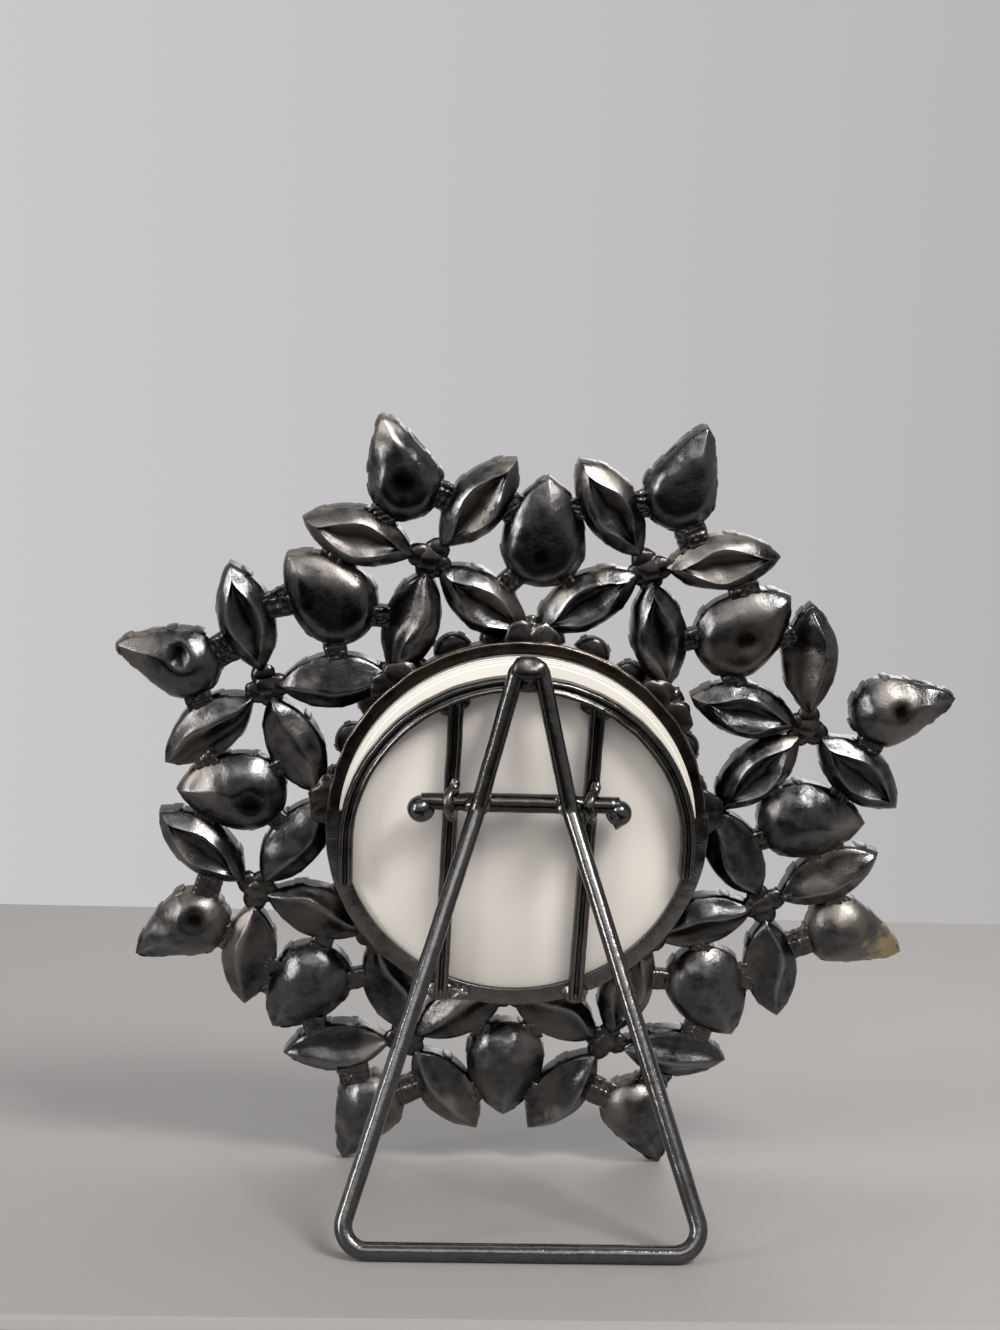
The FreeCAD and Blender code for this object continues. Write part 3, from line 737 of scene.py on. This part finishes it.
def add_setting(cups, gems, site, shape, back, claws, seed, stand_out, dent=None):
    """A setting with its claws, and its stone."""
    path, stone, outline, size = shape
    cup_shell(cups, site, outline, size, back, dent)
    add_claws(cups, site, outline, claws, seed, stand_out)
    add_stone(gems, site, path, stone)


def navette_back(index, order):
    """The back of one flower's navette: pressed in, or creased by its own offset, snake and dish."""
    if order in DISHED.get(index, ()):
        return mouth_back(DISH_DEPTH, DISHED_CROWN)
    side = -1 if order in (1, 4) else 1
    offset = side * (0.22 + abs(wobble((index * 1.7, order * 1.3, 2.5), amount=0.5)))
    snake = wobble((order * 2.1, index * 1.9, 0.4), amount=0.55)
    dish = (0.55 if index in (1, 2) else 0.38) + wobble((order * 1.4, index * 1.2, 4.5), amount=0.5)
    return leaf_back(offset, snake, dish, NAVETTE_CROWN)


for index in range(SPOKES):
    number = index + 1
    cups, gems = Piece(), Piece()
    for order, (kind, site) in enumerate(flower_sites(index)[1]):
        if kind == "pear":
            back = pear_back(PEAR, PEAR_CROWN, wobble((index * 2.3, 0.7, 1.5), amount=0.45))
            add_setting(cups, gems, site, PEAR_SHAPE, back, 12, index * 7.3, 0.30,
                        FLOWER_DENTS.get(index))
        else:
            add_setting(cups, gems, site, NAVETTE_SHAPE, navette_back(index, order), 7,
                        index * 7.3 + order, 0.12)
    metal = WORN_METAL if index == WORN_FLOWER else CUP_METAL
    cups.object(f"flower_{number}_cups", metal, FOIL, node=f"flower_{number}")
    gems.object(f"flower_{number}_stones", STONE, STONE_PAINTED_SHADE, smooth=0, node=f"flower_stones_{number}")
    cup, gem = Piece(), Piece()
    back = pear_back(BETWEEN, BETWEEN_CROWN, wobble((index * 1.9, 3.7, 0.5), amount=0.45))
    add_setting(cup, gem, between_site(index), BETWEEN_SHAPE, back, 8, index * 5.1 + 40, 0.14,
                BETWEEN_DENTS.get(index))
    cup.object(f"between_{number}_cup", CUP_METAL, FOIL, node=f"between_pear_{number}")
    gem.object(f"between_{number}_stone", STONE, STONE_PAINTED_SHADE, smooth=0, node=f"between_stone_{number}")


# Solder: the drawing's blobs and links, melted into lumps
SINK = (stand(0, -1, 0) - stand(0, 0, 0)) / MM


def melted(node, name, knot):
    """A copy of a node's solids, rounded into one cast lump with a pocked face and sunk at its knot."""
    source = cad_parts[node]
    made = source.copy()
    made.data = source.data.copy()
    bpy.context.scene.collection.objects.link(made)
    made.parent = None
    made.matrix_world = source.matrix_world.copy()
    grid = made.modifiers.new("grid", "REMESH")
    grid.mode = "VOXEL"
    grid.voxel_size = 0.24 * MM
    soft = made.modifiers.new("soft", "SMOOTH")
    soft.factor = 0.6
    soft.iterations = 5
    graph = bpy.context.evaluated_depsgraph_get()
    mesh = bpy.data.meshes.new_from_object(made.evaluated_get(graph))
    bpy.data.objects.remove(made)
    normals = [vertex.normal.copy() for vertex in mesh.vertices]
    wears_and_sheens = []
    for vertex, normal in zip(mesh.vertices, normals):
        here = vertex.co / MM
        lump = wobble(here, 1.3, 0.22) + wobble(here, 3.4, 0.10)
        vertex.co += normal * (lump - 0.12) * MM
        near = max(1 - (vertex.co - knot).length / (4.2 * MM), 0)
        vertex.co += (SINK * 0.9 * MM + (knot - vertex.co) * 0.25) * min(near * 2, 1)
        wears_and_sheens.append(min(max(0.15 + 1.6 * wobble(here, 2.1, 0.5), 0), 1))
    dress(mesh, (SOLDER,), wears_and_sheens)
    mesh.shade_smooth()
    put(name, mesh, "frame", node)


def add_link(piece, first, second, seed):
    """A ribbed tab over the narrowest gap between two settings."""
    _, start, end = min((dist(p, q), p, q) for p in first for q in second)
    gap = dist(start, end)
    if not 0.05 < gap < 3.2:
        return
    run = Vector((end[0] - start[0], end[1] - start[1])) / gap
    side = Vector((-run.y, run.x))
    middle = (Vector(start) + Vector(end)) / 2
    half = gap / 2 + 0.85
    ribs = max(3, round(half * 2 / 0.75))
    rings = []
    steps = 12
    for step in range(steps + 1):
        place = 2 * step / steps - 1
        round_end = sqrt(max(1 - abs(place) ** 6, 0.04))
        ring = []
        for k in range(ribs * 4 + 1):
            across = -half + 2 * half * k / (ribs * 4)
            crest = 0.5 - 0.5 * cos(2 * pi * k / 4)
            rise = (0.58 + 0.13 * crest) * round_end + wobble((place * 2 + seed, across, seed), 1.2, 0.25)
            here = middle + run * across + side * (place * 1.55 + wobble((across, seed, place), 0.9, 0.12))
            ring.append(stand(-here.x, WALL_END + 0.15 + rise, here.y))
        for across in (half, -half):
            here = middle + run * across + side * (place * 1.55)
            ring.append(stand(-here.x, WALL_END - 0.7, here.y))
        rings.append(ring)
    piece.loft(rings, 0.08)


def ball(piece, centre, radius, squash=(1, 1, 1), rough=0.08, dimple=None, wear_and_sheen=0.3, rows=14, sides=24):
    """A lumpy ball, squashed along x, y and z, with a (direction, depth, angle) dimple if one is given."""
    rings = []
    for row in range(rows + 1):
        ring_radius, offset = polar(1, -89 + 178 * row / rows)
        ring = []
        for c, s in circle(ring_radius, sides):
            out = Vector((offset, c, s))
            size = radius + wobble(out * 1.6 + Vector(centre), 0.9, rough)
            if dimple is not None:
                size -= dimple[1] * exp(-(out.angle(dimple[0]) / dimple[2]) ** 2)
            ring.append(stand(*(place + part * size * share
                                for place, part, share in zip(centre, out, squash))))
        rings.append(ring)
    piece.loft(rings, wear_and_sheen)


# Where a flower's settings meet, small flat balls make a web. Its tabs join the nearest settings.
WEB = {"squash": (1.15, 0.58, 1.15), "rough": 0.25, "wear_and_sheen": 0}
KNOT = {"squash": (1.1, 0.55, 1.1), "rough": 0.5, "wear_and_sheen": 0.1}
for index in range(SPOKES):
    number = index + 1
    tabs = Piece()
    knot, sites = flower_sites(index)
    melted(f"flower_solder_{number}", f"flower_{number}_solder", stand(-knot[0], WALL_END, knot[1]))
    pear, *navettes = [[on_wreath(site, *point) for point in (PEAR_LINE if kind == "pear" else NAVETTE_LINE)]
                       for kind, site in sites]
    before, after = [[on_wreath(between_site(other), *point) for point in BETWEEN_LINE]
                     for other in ((index - 1) % SPOKES, index)]
    pairs = ((pear, navettes[0]), (pear, navettes[1]), (navettes[0], before), (navettes[1], after),
             (navettes[2], before), (navettes[3], after))
    for order, (first, second) in enumerate(pairs):
        add_link(tabs, first, second, index * 3.7 + order)
    for _, (_, direction) in sites[1:]:
        across, up = stepped(knot, 1.45, direction)
        ball(tabs, (-across, WALL_END - 0.5, up), 1.5, rows=10, sides=18, **WEB)
    ball(tabs, (-knot[0], WALL_END - 0.35, knot[1]), 1.7, rows=10, sides=18, **KNOT)
    tabs.object(f"flower_{number}_tabs", SOLDER, smooth=50)


# Ring, strip and sheets
def revolved(piece, section, start, sweep, steps, rough=0, wear_and_sheen=(0.15,)):
    """Sweeps (radius, depth) corners round the ring's axis, from an angle seen from behind.

    wear has a value for each corner, or one for all.
    """
    whole = sweep >= 360
    rings = []
    for step in range(steps if whole else steps + 1):
        angle = start + sweep * step / steps
        ring = []
        for radius, depth in section:
            u, v = polar(radius, angle)
            shift = wobble((u, depth * 2, v), 0.45, rough)
            lift = wobble((v, u, depth), 0.6, rough)
            u, v = polar(radius + shift, angle)
            ring.append(stand(-u, depth + lift, v))
        rings.append(ring)
    if whole:
        rings.append(rings[0])
    wears_and_sheens = list(wear_and_sheen) * (len(rings) * len(section) // len(wear_and_sheen))
    piece.loft(rings, wears_and_sheens, first=not whole, last=not whole)


def rounded(section, radius, steps=3):
    """Rounds every corner of a closed section."""
    made = []
    for index, corner in enumerate(section):
        here = Vector(corner)
        back = Vector(section[index - 1]) - here
        ahead = Vector(section[(index + 1) % len(section)]) - here
        cut = min(radius, back.length * 0.45, ahead.length * 0.45)
        first, last = here + back.normalized() * cut, here + ahead.normalized() * cut
        for step in range(steps + 1):
            share = step / steps
            bend = (1 - share) ** 2 * first + 2 * share * (1 - share) * here + share ** 2 * last
            made.append((bend.x, bend.y))
    return made


# Edges of the ring and the strip beyond these places are painted bright: rubbed, with painted highlight.
SHEEN_AND_WEAR_OUTSIDE, SHEEN_AND_WEAR_INSIDE, SHEEN_AND_WEAR_REAR = 26, 23.95, 3

ring = Piece()
section = rounded([(RING_BORE, 0), (RING_FLANGE, 0), (RING_FLANGE, -FLANGE_THICKNESS),
                   (RING_TUBE, -FLANGE_THICKNESS), (RING_TUBE, -RING_DEPTH), (RING_BORE, -RING_DEPTH)], 0.35)
revolved(ring, section, 0, 360, 240, rough=0.14,
         wear_and_sheen=[0.45 if radius > SHEEN_AND_WEAR_OUTSIDE else 0.05 for radius, _ in section])
ring.object("ring_body", RING_METAL, smooth=50, node="ring")

strip = Piece()
over = degrees(asin(STRIP_END / RING_FLANGE))
section = rounded([(STRIP_BORE, 0), (RING_FLANGE, 0), (RING_FLANGE, STRIP_REAR),
                   (STRIP_INNER, STRIP_REAR), (STRIP_INNER, STRIP_FRONT), (STRIP_BORE, STRIP_FRONT)], 0.14)
revolved(strip, section, 180 - over, 180 + 2 * over, 160, rough=0.08,
         wear_and_sheen=[0.5 if depth > SHEEN_AND_WEAR_REAR and not SHEEN_AND_WEAR_INSIDE <= radius <= SHEEN_AND_WEAR_OUTSIDE else 0.05
               for radius, depth in section])
strip.object("half_moon_band", BAND_METAL, smooth=45, node="half_moon_strip")

# Half sections of the sheets, as (radius, depth) from the middle of the front round to the middle behind
MIDDLE, FLAT_RADIUS = 0.02, 24.42
BOARD_SECTION = [(MIDDLE, 1.35), (24.45, 1.35), (SHEET_RADIUS, 1.45), (SHEET_RADIUS, 2.10), (24.44, 2.16),
                 (24.25, 2.18), (24.2, 2.3), (23.98, 2.33), (23.9, 2.48), (23.78, 2.55), (12, 2.55),
                 (MIDDLE, 2.55)]


def sheet_section(front, rear):
    return [(MIDDLE, front), (FLAT_RADIUS, front), (SHEET_RADIUS, front + 0.08), (SHEET_RADIUS, rear - 0.08),
            (FLAT_RADIUS, rear), (MIDDLE, rear)]


for name, node, paint, section, steps, smooth in (
        ("card_back", "backing_board", CARD, BOARD_SECTION, 200, 35),
        ("clear_pane", "cover_glass", GLASS, sheet_section(0.05, 1.04), 160, 25),
        ("photo_sheet", "photo_insert", PAPER, sheet_section(1.06, 1.34), 160, 25)):
    sheet = Piece()
    revolved(sheet, section, 0, 360, steps)
    sheet.object(name, paint, body="photo_stack", smooth=smooth, node=node)

# Round settings on the ring's front: the cup as (radius, depth, wear), a claw as (radius, depth, half width)
ROUND_CUP = ((0.05, -5.9, 0), (2.35, -5.9, 0), (2.42, -6.35, 0.6), (2.6, -6.42, 0.9), (2.75, -6.3, 0.6),
             (2.72, -5.9, 0.2), (2.45, -5.45, 0.1), (2, -5.2, 0.1), (0.05, -5.2, 0))
ROUND_CLAW = ((2.6, -5.6, 0.5), (2.95, -6.1, 0.5), (2.85, -6.6, 0.42), (2.3, -7, 0.3), (1.75, -7.1, 0.12))
CUP_SIDES, CLAW_THICKNESS = 28, 0.3


def round_path(length, _, count):
    return circle(length / 2, count)


cups, gems = Piece(), Piece()
for index in range(ROUND_COUNT):
    angle = 90 + 360 / ROUND_COUNT * (index + 0.5)
    site = (polar(ROUND_CIRCLE, angle), angle)
    cups.loft([[spot(site, *point, depth) for point in circle(radius, CUP_SIDES)]
               for radius, depth, _ in ROUND_CUP], [wear_and_sheen for *_, wear_and_sheen in ROUND_CUP])
    for turn in (45, 135, 225, 315):
        rings = []
        for radius, depth, width in ROUND_CLAW:
            base = stepped((0, 0), radius, turn)
            corners = [stepped(stepped(base, side * width, turn + 90), push, turn)
                       for side, push in ((-1, 0), (1, 0), (1, -CLAW_THICKNESS), (-1, -CLAW_THICKNESS))]
            rings.append([spot(site, *corner, depth) for corner in corners])
        cups.loft(rings, 0.6)
    add_stone(gems, site, round_path, (ROUND_STONE, ROUND_STONE), -6.1, 1.3, count=8, culet=0)
cups.object("ring_round_cups", BAND_METAL, node="round_settings")
gems.object("ring_round_stones", STONE, STONE_PAINTED_SHADE, smooth=0, node="round_stones")


# Hoop and struts: flat wire with two round ridges, its profile as (across, depth)
BAND_PROFILE = ((-1.05, 0), (1.05, 0), (1.05, 1), (1, 1.35), (0.85, 1.6), (0.66, 1.7), (0.46, 1.64),
                (0.3, 1.45), (0.16, 1.28), (0, 1.22), (-0.16, 1.28), (-0.3, 1.45), (-0.46, 1.64),
                (-0.66, 1.7), (-0.85, 1.6), (-1, 1.35), (-1.05, 1))
BAND_WEAR = [0.45 if depth > 1.6 else 0.1 if depth > 1.3 else 0 for _, depth in BAND_PROFILE]


def band(piece, path, ends=(1, 1)):
    """The flat wire swept along (across, up) points; ends shrink its first and last sections."""
    rings = []
    last = len(path) - 1
    for index, (across, up) in enumerate(path):
        before, after = path[max(index - 1, 0)], path[min(index + 1, last)]
        run = Vector((after[0] - before[0], after[1] - before[1])).normalized()
        share = ends[0] if index == 0 else ends[1] if index == last else 1
        ring = []
        for side, depth in BAND_PROFILE:
            shift = side * share + wobble((across, up, side), 0.5, 0.07)
            u, v = across - run.y * shift, up + run.x * shift
            lift = depth * (0.5 + 0.5 * share) + wobble((across, up, side), 0.8, 0.07) * (depth > 0)
            ring.append(stand(-u, STRIP_REAR + lift, v))
        rings.append(ring)
    piece.loft(rings, BAND_WEAR * len(rings))


def run_points(start, end, steps):
    return [(start[0] + (end[0] - start[0]) * k / steps, start[1] + (end[1] - start[1]) * k / steps)
            for k in range(steps + 1)]


def hoop_height(across):
    """How high the middle of the hoop's wire stands at a place across."""
    return sqrt(HOOP ** 2 - across ** 2) - HOOP_DROP


hoop = Piece()
arch = [(across, up - HOOP_DROP) for across, up in (polar(HOOP, angle) for angle in range(181))]
path = run_points((HOOP, HOOP_RIGHT_END), (HOOP, -HOOP_DROP), 8)[:-1] + arch
path += run_points((-HOOP, -HOOP_DROP), (-HOOP, HOOP_LEFT_END), 8)[1:]
band(hoop, path, ends=(0.7, 0.7))
hoop.object("hoop_band", BAND_METAL, smooth=60, node="wire_hoop")

STRUT_MIDDLES = {"left": STRUT_OFFSET - STRUT_SPACING, "right": STRUT_OFFSET + STRUT_SPACING}
STRUT_FOOT = -24.6
for name, middle in STRUT_MIDDLES.items():
    strut = Piece()
    ends = [(middle + (up - BAR_HEIGHT) * STRUT_SLOPE, up) for up in (STRUT_FOOT, hoop_height(middle) - 0.9)]
    band(strut, run_points(*ends, 40), ends=(0.8, 1))
    strut.object(f"{name}_strut_band", BAND_METAL, smooth=60, node=f"{name}_strut")


# Round wire: leg, crossbar and eyelets
def tube(piece, path, radii, sides=24, flat=1, rough=0.04, wear_and_sheen=0.2, ends=True):
    """A round wire through points of the upright drawing, with a radius at each point."""
    rings = []
    points = [Vector(point) for point in path]
    run = (points[1] - points[0]).normalized()
    across = run.orthogonal().normalized()
    if flat != 1:
        across = Vector((1, 0, 0)) if abs(run.x) < 0.9 else Vector((0, 1, 0))
    for index, point in enumerate(points):
        before, after = points[max(index - 1, 0)], points[min(index + 1, len(points) - 1)]
        run = (after - before).normalized()
        across = (across - run * across.dot(run)).normalized()
        third = run.cross(across)
        ring = []
        for c, s in circle(1, sides):
            out = across * c * flat + third * s
            lump = wobble(point + out * 2, 0.5, rough) + wobble(point + out * 2, 2, rough * 0.4)
            ring.append(point + out * (radii[index] + lump))
        rings.append([stand(*place) for place in ring])
    piece.loft(rings, wear_and_sheen, first=ends, last=ends)


def bend(before, corner, after, radius, steps=10):
    """The arc that rounds a path's corner."""
    before, corner, after = Vector(before), Vector(corner), Vector(after)
    back, ahead = (before - corner).normalized(), (after - corner).normalized()
    half = back.angle(ahead) / 2
    centre = corner + (back + ahead).normalized() * (radius / sin(half))
    first = corner + back * (radius / tan(half)) - centre
    last = corner + ahead * (radius / tan(half)) - centre
    turn = first.angle(last)
    axis = first.cross(last).normalized()
    return [centre + Matrix.Rotation(turn * step / steps, 3, axis) @ first for step in range(steps + 1)]


def fine(points, step):
    """Divides the straight stretches of a path."""
    made = [points[0]]
    for here, there in zip(points, points[1:]):
        count = max(1, int((there - here).length / step))
        made += [here + (there - here) * (k / count) for k in range(1, count + 1)]
    return made


# The leg's place, worked out as in the drawing: it stands on the shelf and its top rests on the hoop.
KNEE_DEPTH = BAR_DEPTH + 2 * WIRE - LAP
OPEN = acos((DROP + BAR_HEIGHT * cos(LEAN) - KNEE_DEPTH * sin(LEAN) - WIRE) / LOWER_LEG) + LEAN
APEX_DEPTH = KNEE_DEPTH + ((BAND_REAR + LAP + WIRE - KNEE_DEPTH) / (HOOP_TOUCH_HEIGHT - BAR_HEIGHT)
                           * (APEX_HEIGHT - BAR_HEIGHT))
FOOT = (KNEE_DEPTH + LOWER_LEG * sin(OPEN), BAR_HEIGHT - LOWER_LEG * cos(OPEN))
corners = [(0, *FOOT), (-FOOT_HALF, *FOOT), (-KNEE_HALF, KNEE_DEPTH, BAR_HEIGHT),
           (-APEX_HALF, APEX_DEPTH, APEX_HEIGHT), (0, APEX_DEPTH, APEX_HEIGHT)]
half = [Vector(corners[0])]
for index, radius in enumerate(LEG_BENDS, 1):
    half += bend(corners[index - 1], corners[index], corners[index + 1], radius)
path = fine(half + [Vector((-point.x, point.y, point.z)) for point in reversed(half[1:])], 1.2)
path = [point - Vector((LEG_OFFSET, 0, 0)) for point in path]
leg = Piece()
tube(leg, path + [path[1]], [WIRE] * (len(path) + 1), rough=0.035, wear_and_sheen=0.25, ends=False)
leg.object("easel_wire", WIRE_METAL, body="leg", smooth=60, node="easel_leg")

# The crossbar is thicker within its middle length. The right ball's wire shows as a curl.
BAR_THICK_HALF, BAR_EXTRA = 7.4, 0.16
CURL_PLACE, CURL_RADIUS = 12.2, 1.5
bar = Piece()
path = fine([Vector((side * BAR_END, BAR_DEPTH, BAR_HEIGHT)) for side in (-1, 1)], 0.6)
tube(bar, path, [WIRE + BAR_EXTRA * (abs(point.x) < BAR_THICK_HALF) for point in path], rough=0.05, wear_and_sheen=0.1)
for side, radius, dimple in ((1, 1.85, (Vector((-0.5, 0.8, -0.1)), 0.35, 0.35)),
                             (-1, 1.8, (Vector((0.75, 0.8, -0.2)), 0.8, 0.55))):
    ball(bar, (side * BAR_END, BAR_DEPTH, BAR_HEIGHT - BALL_HANG), radius, dimple=dimple)
curl = []
for angle in range(90, -80, -10):
    across, up = polar(CURL_RADIUS, angle)
    curl.append((-CURL_PLACE - across, BAR_DEPTH + 0.1, BAR_HEIGHT - 1.4 + up))
tube(bar, curl, [1.05 - 0.02 * k for k in range(len(curl))], rough=0.05, wear_and_sheen=0.5)
bar.object("crossbar_wire", WIRE_METAL, body="leg", smooth=60, node="crossbar")

welds = Piece()
for side in (-1, 1):
    x = side * KNEE_HALF - LEG_OFFSET
    ball(welds, (x, BAR_DEPTH + 1.15, BAR_HEIGHT), 1.25, (1.45, 1, 0.95), rough=0.25, wear_and_sheen=0.45)
    ball(welds, (x - side * 1.1, BAR_DEPTH + 0.7, BAR_HEIGHT + 0.75), 0.8, (1.1, 1, 0.9), rough=0.3,
         wear_and_sheen=0.5)
ball(welds, (-LEG_OFFSET, APEX_DEPTH + 0.25, 24.25), 1.85, (1.36, 0.85, 0.92), rough=0.5, wear_and_sheen=0)
ball(welds, (-LEG_OFFSET, APEX_DEPTH - 0.1, 22.7), 1.15, (1.1, 0.75, 1.3), rough=0.4, wear_and_sheen=0)
welds.object("leg_welds", SOLDER, body="leg", smooth=70)

# An eyelet's foot on its strut, as (depth behind the band, height from the bar). The upper foot mirrors it.
EYELET_FOOT = ((0.35, -3), (0.45, -2.4), (0.8, -1.85))
EYELET_REACH = WIRE + 0.05 + 0.45
for name, middle in STRUT_MIDDLES.items():
    low = [(BAND_REAR + depth, height) for depth, height in EYELET_FOOT]
    arc = [polar(EYELET_REACH, angle) for angle in range(-90, 91, 10)]
    line = low + [(BAR_DEPTH + depth, height) for depth, height in arc]
    line += [(depth, -height) for depth, height in reversed(low)]
    path = []
    for depth, height in line:
        slant = 0.42 * (depth - BAND_REAR - 1.5) * (1 if height >= 0 else 0.4)
        path.append((slant - middle, depth, BAR_HEIGHT + height))
    eyelet = Piece()
    tube(eyelet, path, [0.42, 0.60] + [0.56] * (len(path) - 4) + [0.60, 0.42], sides=16, flat=1.25,
         rough=0.10, wear_and_sheen=0.3)
    eyelet.object(f"{name}_eyelet_loop", BAND_METAL, smooth=70, node=f"{name}_eyelet")

fillets = Piece()
for side, middle in zip((-1, 1), STRUT_MIDDLES.values()):
    up = hoop_height(middle)
    for push in (-1, 1):
        ball(fillets, (-(middle + push * 0.95), STRIP_REAR + 0.7, up - 1.15 - 0.45 * push * side), 1.15,
             (1, 0.72, 1.1), rough=0.15, wear_and_sheen=0.05)
    ball(fillets, (30 * STRUT_SLOPE - middle, STRIP_REAR + 0.3, -24), 1.7, (1.1, 0.55, 0.8), rough=0.5,
         wear_and_sheen=0.5)
ball(fillets, (7.2, STRIP_REAR + 0.4, -24.3), 1.2, (1.2, 0.7, 0.8), rough=0.5, wear_and_sheen=0.6)
fillets.object("band_solder", SOLDER, smooth=70)

# Beads that fix the inner navettes to the ring. Those at its upper right are painted bright with a painted
# highlight.
BEAD_CIRCLE, BEAD_DEPTH = 26.1, -1.15
beads = Piece()
for index in range(SPOKES):
    for _, (centre, direction) in flower_sites(index)[1][3:]:
        tip = stepped(centre, NAVETTE[0] / 2 - 1, direction)
        angle = degrees(atan2(tip[1], tip[0]))
        across, up = polar(BEAD_CIRCLE, angle)
        # Painted highlight on the beads at the upper right.
        ball(beads, (-across, BEAD_DEPTH, up), 1.9, (1.35, 0.36, 1.35), rough=0.5,
             wear_and_sheen=0.4 if 50 < angle < 88 else 0)
beads.object("ring_solder", SOLDER, smooth=70)


# Shelf
floor_paint, tree, shader = material("floor_paint")
cloud = noise_node(tree, 3, 3, 0.5)
speckle = noise_node(tree, 900, 3, 0.5)
# Painted shade: the shelf is darker at its front edge, where the frame stands, and lighter towards the wall.
far = fade(tree, multiply(tree, axis(tree, "Object", "Y"), -3.6), 0, 1)
shaded_near_paint = ramp(tree, cloud, [(0.3, (0.232, 0.222, 0.215)), (0.7, (0.258, 0.247, 0.238))])
far_paint = ramp(tree, cloud, [(0.3, (0.276, 0.265, 0.254)), (0.7, (0.300, 0.288, 0.276))])
colour = mix(tree, far, shaded_near_paint, far_paint)
colour = mix(tree, multiply(tree, speckle, 0.12), colour, (0.36, 0.35, 0.34))
set_inputs(shader, {"Base Color": colour, "Roughness": 0.55})
bumped(shader, [(speckle, 0.08, 0.05)])
SHELF_HALF, SHELF_BACK, SHELF_FRONT, SHELF_EDGE = 1.4, -0.288, 0.0495, 0.022
profile = [(SHELF_BACK, -SHELF_EDGE), (SHELF_BACK, 0), (SHELF_FRONT - 0.0012, 0),
           (SHELF_FRONT - 0.0004, -0.0003), (SHELF_FRONT, -0.0012), (SHELF_FRONT, -SHELF_EDGE)]
count = len(profile)
faces = [(k, (k + 1) % count, count + (k + 1) % count, count + k) for k in range(count)]
faces += [tuple(range(count)), tuple(range(count, 2 * count))]
mesh = bpy.data.meshes.new("shelf")
mesh.from_pydata([(side * SHELF_HALF, y, z) for side in (-1, 1) for y, z in profile], [], faces)
mesh.materials.append(floor_paint)
new_object("shelf", mesh)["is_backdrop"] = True

# Room: a pale wall in front of the frame, and behind it a cluttered room that the metal mirrors
world = bpy.data.worlds.new("room")
bpy.context.scene.world = world
world.use_nodes = True
tree = world.node_tree
x, y, z = (axis(tree, "Generated", name) for name in "XYZ")
clutter = ramp(tree, noise_node(tree, 1.9, 1.5, 0.5, "Generated"),
               [(0.38, (0.020, 0.019, 0.018)), (0.48, (0.10, 0.095, 0.09)), (0.54, (0.55, 0.54, 0.53)),
                (0.66, (1.6, 1.6, 1.65))])
horizon = fade(tree, arithmetic(tree, "ABSOLUTE", z), 0.24, 0.40, 1, 0)
room = mix(tree, horizon, clutter, (0.40, 0.39, 0.39))
wall = ramp(tree, arithmetic(tree, "ADD", x, 0.5),
            [(0.20, (0.485, 0.47, 0.478)), (0.55, (0.56, 0.55, 0.56)), (0.80, (0.60, 0.595, 0.595))])
behind = fade(tree, arithmetic(tree, "MULTIPLY_ADD", y, 0.5, 0.5), 0.40, 0.60)
around = mix(tree, behind, wall, room)
above = multiply(tree, fade(tree, z, 0.45, 0.95), 0.6)
sky = mix(tree, above, around, (0.80, 0.80, 0.82))
below = multiply(tree, fade(tree, multiply(tree, z, -1), 0.26, 0.44), behind)
sky = mix(tree, below, sky, (0.035, 0.033, 0.031))
set_inputs(tree.nodes["Background"], {"Color": sky, "Strength": 1})


# Lamps and camera
LAMP_TARGET = Vector((0, 0, 0.05))


def lamp(name, place, size, power, colour=(1, 1, 1)):
    data = bpy.data.lights.new(name, "AREA")
    data.shape = "RECTANGLE"
    data.size, data.size_y = size
    data.energy = power
    data.color = colour
    made = new_object(name, data)
    made.location = place
    made.rotation_mode = "QUATERNION"
    made.rotation_quaternion = (LAMP_TARGET - Vector(place)).to_track_quat("-Z", "Y")


lamp("window", (-0.26, 0.40, 0.48), (0.20, 0.16), 3.9, (1, 0.99, 0.97))
lamp("side", (0.60, 0.35, 0.22), (0.14, 0.40), 2.5)
lamp("fill", (0.05, 0.70, 0.55), (0.60, 0.30), 0.9)
lamp("front", (-0.22, -0.55, 0.40), (0.30, 0.24), 0.6)
lamp("top", (0.05, -0.10, 0.70), (0.5, 0.3), 0.7)

camera_data = bpy.data.cameras.new("camera")
camera_data.lens = 50.05
camera_data.sensor_width = 36
camera = new_object("camera", camera_data)
CAMERA_PLACE = Vector((14.36, 254.94, 73.26)) * MM
yaw, roll = radians(2.574), 0.02667
right = Vector((-cos(yaw), sin(yaw), 0))
up = Vector((0, 0, 1))
ahead = Vector((-sin(yaw), -cos(yaw), 0))
rolled_right = right * cos(roll) + up * sin(roll)
rolled_up = up * cos(roll) - right * sin(roll)
turn = Matrix((rolled_right, rolled_up, -ahead)).transposed()
camera.matrix_world = Matrix.Translation(CAMERA_PLACE) @ turn.to_4x4()
camera_data.clip_start, camera_data.clip_end = 0.01, 20
bpy.context.scene.camera = camera
bpy.context.scene.view_settings.view_transform = "Standard"

low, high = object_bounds()
